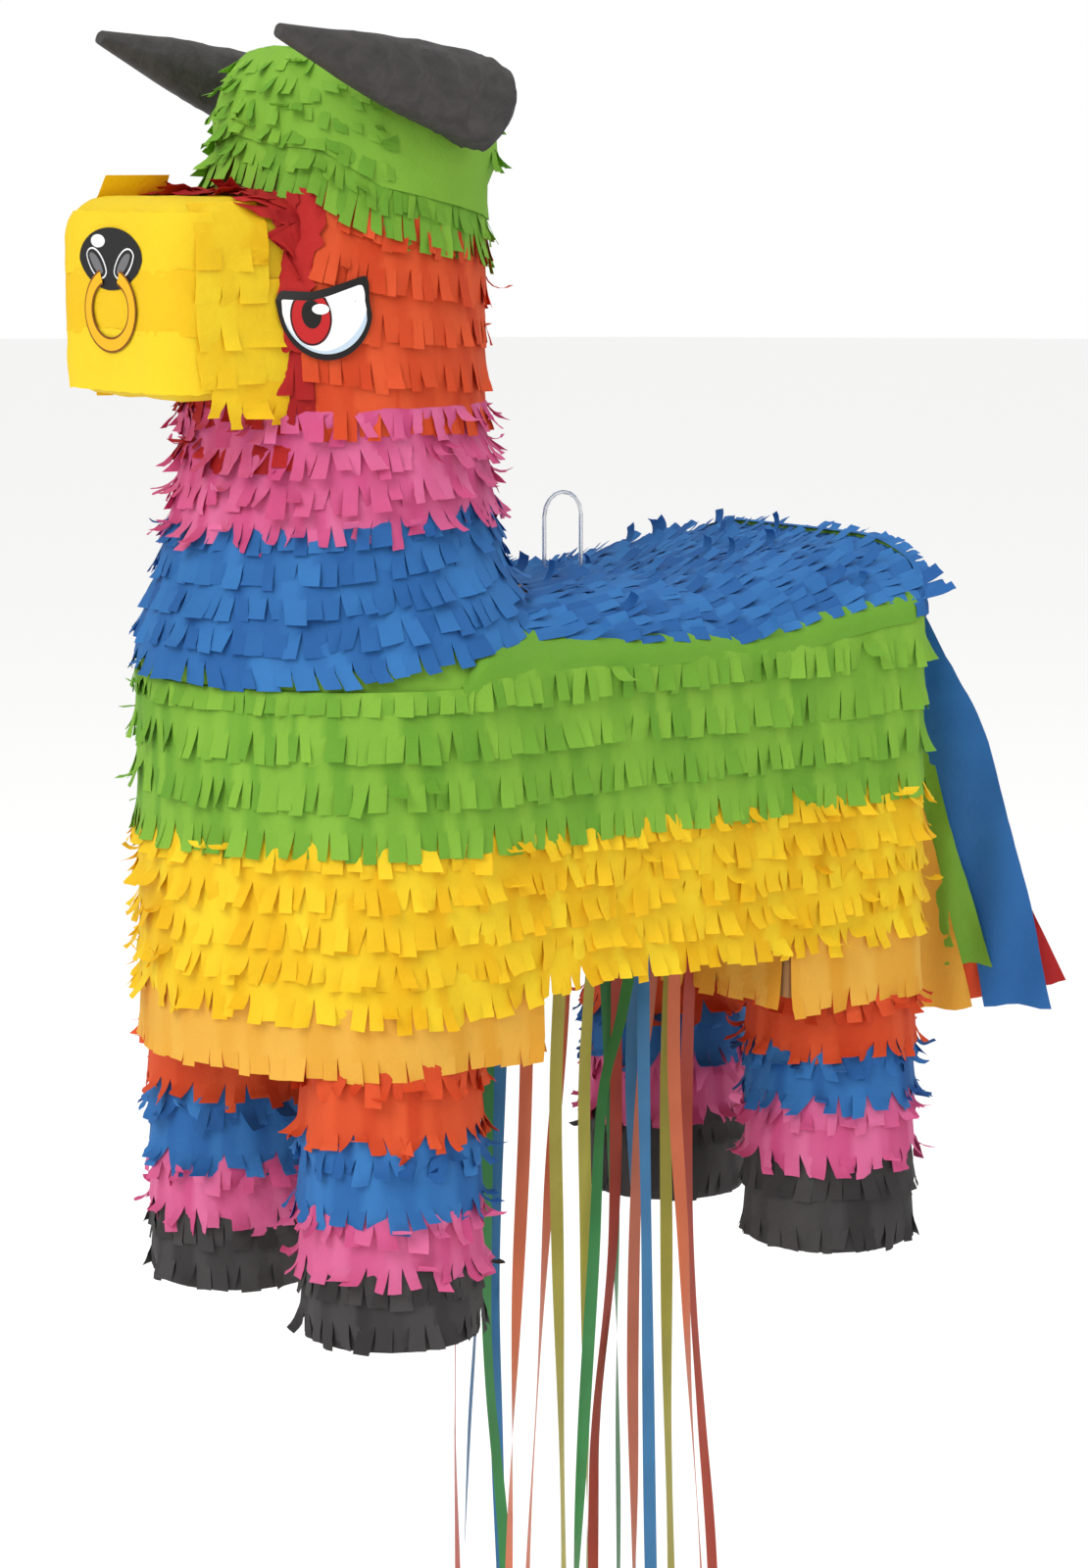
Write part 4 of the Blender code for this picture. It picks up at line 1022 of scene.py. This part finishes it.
def make_legs():
    around = (-math.pi * LEG_RADIUS, math.pi * LEG_RADIUS)
    for end in ("front", "rear"):
        for side, x in (("left", LEG_X), ("right", -LEG_X)):
            y = -LEG_Y if end == "front" else LEG_Y
            wall = leg_wall(x, y)
            place = end + "_" + side
            hoof_top = LEG_BANDS[end][-1][1]

            def lay_hoof(work, draw):
                pasted(work, draw, wall, around, 0.016, 0.0004, out=0.0003, crumple=0.0003)
                rows(work, draw, wall, around, 0.0010, hoof_top + 0.010, 2, 0.0100, HOOF)
            coat("black_hoof_" + place, "black", "carcass", ["leg_tissue_" + place], lay_hoof)
            for colour, low, high in LEG_BANDS[end]:
                def lay_band(work, draw):
                    rows(work, draw, wall, around, low, high, 2, 0.0085, RUFFLED)
                coat(colour + "_leg_band_" + place, colour, "carcass", (), lay_band)


# ---- neck, head and muzzle -------------------------------------------------------------------
WHOLE_NECK = (neck_run(-180), neck_run(180))


def lay_collar(work, draw):
    """Five rows whose lower edge climbs towards the back, where the neck meets it."""
    ruffle = style(curl=(7, 12), lift=(6, 5), twist=(0, 17), lean=(0, 6), width=0.0058,
                   ragged=0.14, stray=0.03, crumple=0.0005)
    highest = round_neck([(0, 0.3000), (60, 0.3010), (110, 0.3065), (180, 0.3090)])
    rows(work, draw, collar_wall, WHOLE_NECK, collar_edge, highest, 5, 0.0090, ruffle)


def lay_pink(work, draw):
    ruffle = style(curl=(13, 30), lift=(9, 9), twist=(0, 26), lean=(0, 12), width=0.0052,
                   ragged=0.28, stray=0.10, crumple=0.0009, wave=0.0008)
    around = round_neck([(0, 0.2885), (60, 0.2895), (110, 0.2950), (180, 0.2970)])

    def lowest(run):
        return around(run) + 0.0020 * rumple(run * 30, 4.0, 0.0)
    rows(work, draw, neck_wall, WHOLE_NECK, lowest, 0.3410, 4, 0.0100, ruffle)


def lay_orange(work, draw):
    ruffle = style(curl=(5, 8), lift=(5, 4), twist=(0, 11), lean=(0, 4), width=0.0050,
                   ragged=0.12, stray=0.02)
    highest = round_neck([(45, 0.4260), (72, 0.4130), (110, 0.4065), (180, 0.4010)])
    rows(work, draw, neck_wall, (neck_run(45), neck_run(315)), 0.3290, highest, 5, 0.0110,
         ruffle)


def lay_cheek(work, draw):
    """Creased red sheets round the root of the muzzle, over torn rows below it."""
    ruffle = style(curl=(8, 16), lift=(7, 6), twist=(0, 20), lean=(0, 10), width=0.0070,
                   ragged=0.4, stray=0.04, crumple=0.0009)
    rows(work, draw, neck_wall, (neck_run(-49), neck_run(49)), 0.3190, 0.3600, 3, 0.0095,
         ruffle)
    for side in (-1, 1):
        for near, far, low in ((22, 37, 0.352), (33, 49, 0.360)):
            ends = stretch(side, neck_run(near), neck_run(far))
            pasted(work, draw, neck_wall, ends, 0.4160, low, cell=0.0018, crumple=0.0021,
                   out=0.0022, ragged=0.003)


def lay_hood(work, draw):
    """Torn red rows over the top of the muzzle, flaps forward, between it and the cap."""
    ruffle = style(curl=(-12, 26), lift=(9, 9), twist=(0, 24), lean=(0, 16), width=0.0085,
                   uneven=0.5, ragged=0.35, stray=0.03, crumple=0.0014)
    for front in (0.1570, 0.1500):
        def tip(run, reach=front):
            return 0.012 * ease(abs(run), 0.030, 0.055) - reach
        fringe(work, draw, hood_wall, (-0.062, 0.062), -0.1330, tip, 0.010, ruffle)


cap_edge = round_neck([(0, 0.418), (21, 0.414), (41, 0.4127), (69, 0.3995), (100, 0.3935),
                       (140, 0.387), (180, 0.387)])


def lay_cap(work, draw):
    """Short rows over the brow and round the sides, a plain sheet behind them."""
    long = style(curl=(7, 10), lift=(6, 5), twist=(0, 15), lean=(3, 6), width=0.0045,
                 ragged=0.16, stray=0.02)
    messy = style(curl=(16, 22), lift=(11, 9), twist=(0, 24), lean=(4, 11), width=0.0055,
                  ragged=0.22, stray=0.06, crumple=0.0006)
    fringe(work, draw, neck_wall, WHOLE_NECK, lambda run: cap_edge(run) + 0.024, cap_edge,
           0.0125, long)
    brow = (neck_run(-72), neck_run(72))
    rows(work, draw, neck_wall, brow, lambda run: cap_edge(run) + 0.0085, 0.4660, 5, 0.0080,
         messy)
    for side in (-1, 1):
        ends = stretch(side, neck_run(70), neck_run(180))
        fringe(work, draw, neck_wall, ends, lambda run: cap_edge(run) + 0.030,
               lambda run: cap_edge(run) + 0.0095, 0.0090, long)
        ends = stretch(side, neck_run(128), neck_run(180))
        rows(work, draw, neck_wall, ends, 0.4220, 0.4640, 3, 0.0095, messy)


def lay_crown(work, draw):
    """The plain sheet that closes the top of the head."""
    def crown_wall(run, level, out):
        if level <= HEAD_TOP:
            return neck_wall(run, level, out)
        centre, radius = head_ring(HEAD_TOP)
        share = min(1.0, (level - HEAD_TOP) / 0.020)
        angle = run / NECK_RUN_RADIUS
        reach = radius * (1 - share)
        return Vector((reach * math.sin(angle), centre - reach * math.cos(angle),
                       HEAD_TOP + 0.0020 * share + out - COAT))
    pasted(work, draw, crown_wall, WHOLE_NECK, HEAD_TOP + 0.020,
           lambda run: cap_edge(run) + 0.018, cell=0.0040, crumple=0.0010, out=0.0020)
    bmesh.ops.remove_doubles(work, verts=work.verts[:], dist=0.00005)


def make_muzzle_skin():
    """Smooth sheets pasted round the muzzle's rounded box."""
    work = start_sheet()
    low = Vector((MUZZLE_SHIFT - MUZZLE_HALF, MUZZLE_FRONT, MUZZLE_FOOT))
    high = Vector((MUZZLE_SHIFT + MUZZLE_HALF, -0.128, MUZZLE_TOP))
    size = Matrix.Diagonal(high - low).to_4x4()
    bmesh.ops.create_cube(work, size=1.0, matrix=Matrix.Translation((low + high) / 2) @ size)
    bmesh.ops.bevel(work, geom=work.edges[:], offset=MUZZLE_ROUNDING, segments=6, profile=0.5,
                    affect="EDGES", material=-1)
    bmesh.ops.subdivide_edges(work, edges=[edge for edge in work.edges
                                           if edge.calc_length() > 0.012],
                              cuts=13, use_grid_fill=True)
    tones = work.verts.layers.float["tone"]
    work.normal_update()
    moves = {}
    for vert in work.verts:
        vert[tones] = 0.75
        fold = 0.6 - 2 * abs(rumple(*vert.co * 45)) + 0.5 * rumple(*vert.co * 140)
        moves[vert] = vert.normal * (0.0006 * fold - 0.0006)
    for vert, move in moves.items():
        vert.co += move
    return settle("yellow_muzzle_skin", work, [TISSUES["yellow"]], "carcass",
                  ["tissue_muzzle_yellow"], thickness=0.0, sharp=60)


def lay_muzzle_patches(work, draw):
    """Three smooth strips over the front, and flat torn patches along the sides with a
    ragged fringe under the jaw."""
    for low, high in ((0.3460, 0.3680), (0.3660, 0.3890), (0.3870, 0.4090)):
        pasted(work, draw, muzzle_wall, (-MUZZLE_SIDE - 0.010, MUZZLE_SIDE + 0.006), high, low,
               crumple=0.00045, out=0.0005, ragged=0.0008)
    ruffle = style(curl=(3, 7), lift=(1, 3), twist=(0, 6), lean=(0, 6), width=0.0105,
                   uneven=0.5, ragged=0.22, stray=0.01, crumple=0.0008, out=0.0006)
    jaw = style(curl=(8, 24), lift=(4, 8), twist=(0, 24), lean=(0, 18), width=0.0070,
                uneven=0.5, ragged=0.4, stray=0.05, crumple=0.0012, out=0.0008)
    for side in (-1, 1):
        for number, rear in enumerate((-0.1360, -0.1370, -0.1430, -0.1480, -0.1480)):
            tip = 0.3350 + 0.0135 * number + (0.009 if side < 0 else 0.0)
            far = MUZZLE_SIDE + rear - MUZZLE_FRONT - MUZZLE_ROUNDING
            near = MUZZLE_SIDE - (0.003 if number else -0.003)
            ends = stretch(side, near, far)
            fringe(work, draw, muzzle_wall, ends, tip + 0.0235, tip, 0.0085,
                   jaw if number == 0 else ruffle)


# ---- printed stickers ------------------------------------------------------------------------
def leaf(work, place, low, high, ink, columns=24, levels=6, run=(-1.0, 1.0)):
    """A printed shape between two outlines that are functions of u; its ends may pinch."""
    made = bmesh.ops.create_grid(work, x_segments=columns, y_segments=levels, size=0.5)["verts"]
    middle, half = (run[0] + run[1]) / 2, (run[1] - run[0]) / 2
    for vert in made:
        u = middle - half * math.cos(math.pi * (vert.co.x + 0.5))
        v = low(u) + (high(u) - low(u)) * (vert.co.y + 0.5)
        vert.co = place(u, v)
    for face in faces_of(made):
        face.material_index = ink
    bmesh.ops.remove_doubles(work, verts=made, dist=0.00001)


def oval(centre, radii, sign):
    """Lower (-1) or upper (1) outline of an ellipse."""
    def outline(u):
        share = (u - centre[0]) / radii[0]
        return centre[1] + sign * radii[1] * math.sqrt(max(0.0, 1 - share * share))
    return outline


INK_ORDER = ["black", "white", "pale", "red", "deep", "gold", "brown", "grey"]
INK_SHEET = 0.00004        # thickness of one ink
INK_STEP = 0.00009         # each ink lies this far over the one below it


def print_oval(work, place, centre, radii, ink, cap=None):
    low, high = oval(centre, radii, -1), oval(centre, radii, 1)

    def capped(u):
        return max(low(u), min(high(u), cap(u))) if cap else high(u)
    leaf(work, place, low, capped, INK_ORDER.index(ink),
         run=(centre[0] - radii[0], centre[0] + radii[0]))


EYE_TOP = [(-1.0, 0.40), (-0.97, 0.58), (-0.9, 0.655), (-0.55, 0.64), (-0.28, 0.625),
           (0.1, 0.735), (0.5, 0.90), (0.75, 1.0), (0.83, 0.98), (0.90, 0.80), (1.0, 0.10)]


def eye_low(u):
    if u < -0.94:
        return between([(-1.0, 0.46), (-0.94, 0.02)], u, 1)
    return 0.10 - 1.10 * math.sqrt(max(0.0, 1 - (u - 0.03) ** 2 / 0.97 ** 2)) ** 1.15


def eye_high(u):
    return max(eye_low(u), between(EYE_TOP, u, 1))


def make_eye(side, sign):
    work = bmesh.new()
    turn = EYE_HALF / head_ring((EYE_LOW + EYE_HIGH) / 2)[1]
    middle, half = (EYE_LOW + EYE_HIGH) / 2, (EYE_HIGH - EYE_LOW) / 2
    layer = [0]

    def place(u, v):
        height = middle + half * v
        centre, radius = head_ring(height)
        angle = EYE_TURN + turn * u
        reach = radius + 0.0004 + layer[0] * INK_STEP
        return Vector((sign * reach * math.sin(angle), centre - reach * math.cos(angle), height))

    def white_high(u):
        return between(EYE_TOP, u / 0.93, 1) - 0.21

    def white_low(u):
        return min(eye_low(u / 0.9) * 0.86 + 0.01, white_high(u))

    leaf(work, place, eye_low, eye_high, 0, columns=48, levels=12)
    layer[0] = 1
    leaf(work, place, white_low, white_high, 1, columns=40, levels=12, run=(-0.86, 0.885))
    layer[0] = 2
    leaf(work, place, white_low,
         lambda u: min(white_high(u), white_low(u) + 0.07 + 0.20 * max(0.0, u)), 2,
         columns=32, levels=3, run=(-0.8, 0.88))
    for ink, grow in (("deep", 0.05), ("red", 0.0)):
        layer[0] += 1
        print_oval(work, place, (-0.27, 0.02), (0.39 + grow * 0.8, 0.62 + grow), ink,
                   cap=white_high)
    layer[0] += 1
    print_oval(work, place, (-0.25, 0.10), (0.205, 0.34), "black", cap=white_high)
    layer[0] += 1
    print_oval(work, place, (-0.06, 0.22), (0.175, 0.125), "white")
    bmesh.ops.recalc_face_normals(work, faces=work.faces[:])
    return settle("eye_print_" + side, work, [INKS[ink] for ink in INK_ORDER], "carcass",
                  ["eye_sticker_" + side], thickness=INK_SHEET, sharp=30)


def make_nose():
    """A printed snout with a gold ring through it, stuck flat on the muzzle."""
    work = bmesh.new()
    layer = [0]

    def place(u, v):
        return Vector((u * 0.001, MUZZLE_FRONT - 0.0009 - layer[0] * INK_STEP, NOSE_Z + v * 0.001))

    def snout(sign):
        def outline(u):
            share = math.sqrt(max(0.0, 1 - (u / 20.7) ** 2))
            return 11.0 * share if sign > 0 else -11.0 * share ** 1.35
        return outline

    leaf(work, place, snout(-1), snout(1), 0, columns=36, levels=8, run=(-20.7, 20.7))
    layer[0] = 1
    print_oval(work, place, (-8.1, 6.2), (4.6, 2.3), "white")

    def nostril(side, grow):
        middle = side * 9.0

        def edge(sign):
            def outline(u):
                share = (u - middle) / (6.0 + grow)
                bow = math.sqrt(max(0.0, 1 - share * share))
                return -1.6 + 2.9 * side * share + sign * (4.2 + grow) * bow ** 1.3
            return outline
        return edge(-1), edge(1), (middle - 6.0 - grow, middle + 6.0 + grow)

    for grow, ink in ((0.7, "white"), (0.0, "black"), (-1.6, "grey")):
        layer[0] += 1
        for side in (-1, 1):
            low, high, run = nostril(side, grow)
            leaf(work, place, low, high, INK_ORDER.index(ink), run=run, columns=20)
    for stroke, ink in ((2.75, "brown"), (1.95, "gold")):
        layer[0] += 1
        made = bmesh.ops.create_grid(work, x_segments=64, y_segments=2, size=0.5)["verts"]
        for vert in made:
            angle = math.radians(113 + 314 * (vert.co.x + 0.5))
            reach = 2 * stroke * vert.co.y
            vert.co = place((14.4 + reach) * math.cos(angle),
                            -17.8 + (12.4 + reach) * math.sin(angle))
        for face in faces_of(made):
            face.material_index = INK_ORDER.index(ink)
    bmesh.ops.recalc_face_normals(work, faces=work.faces[:])
    return settle("nose_and_ring_print", work, [INKS[ink] for ink in INK_ORDER], "carcass",
                  ["nose_ring_sticker"], thickness=INK_SHEET, sharp=30)


# ---- horns -------------------------------------------------------------------------------
HORN_BASE, HORN_TIP = Vector((0.0606, -0.0762, 0.4471)), Vector((0.0580, -0.1575, 0.4710))
HORN_BASE_RADIUS, HORN_TIP_RADIUS = 0.0165, 0.0026
HORN_SIZES = [(0.0, 0.0), (0.34, 0.44), (0.62, 0.71), (0.9, 0.93), (1.0, 1.0), (1.09, 0.86),
              (1.14, 0.45)]


def make_horn(side, sign):
    """Black tissue twisted round a paper core, creased along and across."""
    work = start_sheet()
    base = Vector((sign * HORN_BASE.x, HORN_BASE.y, HORN_BASE.z))
    tip = Vector((sign * HORN_TIP.x, HORN_TIP.y, HORN_TIP.z))
    along = (base - tip).normalized()
    turn = along.to_track_quat("Z", "Y").to_matrix().to_4x4()
    edges, rings = [], []
    stations = [1.14 * step / 44 for step in range(45)]
    for share in stations:
        radius = HORN_TIP_RADIUS + between(HORN_SIZES, share, 1) * (HORN_BASE_RADIUS
                                                                    - HORN_TIP_RADIUS)
        place = Matrix.Translation(tip.lerp(base, share)) @ turn
        ring = bmesh.ops.create_circle(work, segments=48, radius=radius, matrix=place)["verts"]
        for vert in ring:
            spoke = vert.co - place.translation
            angle = math.atan2((turn.inverted() @ spoke).y, (turn.inverted() @ spoke).x)
            ridge = rumple(math.cos(angle) * 1.6, math.sin(angle) * 1.6, share * 2.4 + sign * 7)
            crease = 0.4 - abs(rumple(math.cos(angle + share * 2) * 2.6,
                                      math.sin(angle + share * 2) * 2.6, share * 6))
            vert.co = place.translation + spoke * (1 + 0.11 * ridge + 0.14 * share * crease)
        rings.append(ring)
        edges += list({edge for vert in ring for edge in vert.link_edges})
    bmesh.ops.bridge_loops(work, edges=edges)
    for ring in (rings[0], rings[-1]):
        bmesh.ops.contextual_create(work, geom=ring)
    bmesh.ops.recalc_face_normals(work, faces=work.faces[:])
    return settle("twisted_horn_" + side, work, [HORN_PAPER], "carcass",
                  ["horn_" + side], thickness=0.0, sharp=70)


# ---- tail --------------------------------------------------------------------------------
# each streamer: name, tissue, width, root x, then bow (x, y, z) and free end (x, y, z)
STREAMERS = [
    ("blue_wide", "blue", 0.028, 0.060, (0.052, 0.184, 0.166), (0.048, 0.216, 0.078)),
    ("red_wide", "red", 0.022, 0.046, (0.040, 0.188, 0.166), (0.045, 0.233, 0.085)),
    ("green_narrow", "green", 0.020, 0.040, (0.036, 0.168, 0.172), (0.036, 0.199, 0.096)),
    ("orange_narrow", "orange", 0.024, 0.034, (0.032, 0.174, 0.166), (0.032, 0.208, 0.080)),
    ("gold_narrow", "gold", 0.024, 0.026, (0.026, 0.166, 0.166), (0.026, 0.195, 0.076)),
    ("blue_narrow", "blue", 0.022, 0.018, (0.016, 0.166, 0.176), (0.016, 0.197, 0.092)),
    ("pink_narrow", "pink", 0.020, 0.010, (0.010, 0.166, 0.176), (0.006, 0.194, 0.086)),
]


def make_tail():
    for number, (title, colour, width, root_x, bow, end) in enumerate(STREAMERS):
        draw = random.Random(title)
        work = start_sheet()
        tones = work.verts.layers.float["tone"]
        paper = work.loops.layers.uv["paper"]
        root = Vector((root_x, RUMP_Y + 0.0008 + 0.0004 * number, 0.2560))
        bow, end = Vector(bow), Vector(end)
        bend = bow * 2 - (root + end) / 2
        made = bmesh.ops.create_grid(work, x_segments=6, y_segments=44, size=0.5)["verts"]
        phase = draw.uniform(0, 6)
        flat = {}
        for vert in made:
            share = 0.5 - vert.co.y
            middle = root * (1 - share) ** 2 + bend * (2 * share * (1 - share)) + end * share ** 2
            angle = math.radians(8 + 42 * share + 12 * math.sin(share * 5 + phase))
            across = Vector((math.cos(angle), math.sin(angle), 0.0))
            away = Vector((-math.sin(angle), math.cos(angle), 0.25)).normalized()
            swell = 0.35 + 0.65 * ease(share, 0.0, 0.35)
            ruffle = 0.0022 * share * math.sin(vert.co.x * 7 + share * 14 + phase)
            crease = 0.0006 * rumple(vert.co.x * 9, share * 30, number)
            flat[vert] = (vert.co.x * width, share * 0.2)
            vert.co = middle + across * (vert.co.x * width * swell) + away * (ruffle + crease)
            vert[tones] = 0.35 + 0.4 * draw.random() if share == 0 else 0.55
        map_flat(work.faces, paper, flat)
        streamer = settle("tail_streamer_" + title, work, [TISSUES[colour]], "tail",
                          ["tail_streamers"])


# ---- the model's own card, and the floor and light ----------------------------------------
def dress_model_pieces():
    """Card, feet and line keep the model's shapes and get their real finishes."""
    for title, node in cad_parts.items():
        if node.hide_render:
            continue
        node.data.materials.clear()
        if title.startswith("foot_disc"):
            node.data.materials.append(FOOT_CARD)
        elif title == "hanging_loop":
            node.data.materials.append(NYLON)
        else:
            node.data.materials.append(CARD)


FLOOR_GAP, FLOOR_RADIUS = 0.012, 14.0   # metres; the gap is below the lowest ribbon


def make_stage():
    work = bmesh.new()
    low = min(path[-1][2] for path in RIBBON_PATHS.values()) - FLOOR_GAP
    spread = Matrix.Translation(SOLES + Vector((0.0, 0.0, low)))
    bmesh.ops.create_circle(work, cap_ends=True, segments=64, radius=FLOOR_RADIUS,
                            matrix=spread)
    mesh = bpy.data.meshes.new("floor")
    work.to_mesh(mesh)
    work.free()
    made, tree = start_material("pale_floor")
    paint = add(tree, "BsdfPrincipled", {"Base Color": linear("#F6F6F5"), "Roughness": 0.9,
                                         "Emission Color": (1.0, 1.0, 1.0, 1.0),
                                         "Emission Strength": 0.22})
    end_material(tree, paint.outputs[0])
    mesh.materials.append(made)
    floor = place_object("floor", mesh)


LAMP_AIM = Vector((0.0, 0.0, 0.2))


def lamp(title, power, size, place):
    """A square lamp, with its power in watts and its side in metres."""
    light = bpy.data.lights.new(title, "AREA")
    light.energy = power
    light.shape = "SQUARE"
    light.size = size
    obj = place_object(title, light)
    obj.location = Vector(place) + SOLES
    obj.rotation_euler = (LAMP_AIM - Vector(place)).to_track_quat("-Z", "Y").to_euler()


def make_light():
    """A white room, a big soft key ahead and to the bull's left, and a weaker overhead.
    The backdrop is seen a little brighter than the light it gives."""
    lamp("key", 27.0, 1.3, (0.8, -2.0, 1.6))
    lamp("overhead", 20.0, 2.4, (0.2, 0.4, 2.6))
    world = bpy.data.worlds.new("white_room")
    world.use_nodes = True
    tree = world.node_tree
    tree.nodes.clear()
    seen = add(tree, "LightPath").outputs["Is Camera Ray"]
    strength = add(tree, "MapRange", {"Value": seen, "To Min": 0.74, "To Max": 1.0})
    room = add(tree, "Background", {"Color": (1.0, 1.0, 1.0, 1.0),
                                    "Strength": strength.outputs[0]})
    add(tree, "OutputWorld", {"Surface": room.outputs[0]}).is_active_output = True
    bpy.context.scene.world = world
    bpy.context.scene.view_settings.view_transform = "Standard"


make_trunk()
coat("gold_skirt_front", "gold", "carcass", ["skirt_front"], lay_front_skirt)
coat("gold_skirt_rear", "gold", "carcass", ["skirt_rear"], lay_rear_skirt)
make_legs()
coat("blue_collar_fringe", "blue", "carcass", ["tissue_collar_blue"], lay_collar)
coat("pink_collar_fringe", "pink", "carcass", ["tissue_collar_pink"], lay_pink)
coat("orange_head_fringe", "orange", "carcass", ["tissue_head_orange"], lay_orange)
coat("red_cheek_paper", "red", "carcass", ["tissue_cheek_red"], lay_cheek)
coat("red_muzzle_hood", "red", "carcass", (), lay_hood)
coat("green_cap_fringe", "green", "carcass", ["tissue_cap_green"], lay_cap)
coat("green_crown_sheet", "green", "carcass", (), lay_crown)
make_muzzle_skin()
coat("yellow_muzzle_patches", "yellow", "carcass", (), lay_muzzle_patches)
make_eye("left", 1)
make_eye("right", -1)
make_nose()
make_horn("left", 1)
make_horn("right", -1)
make_tail()
dress_model_pieces()
make_stage()
make_light()
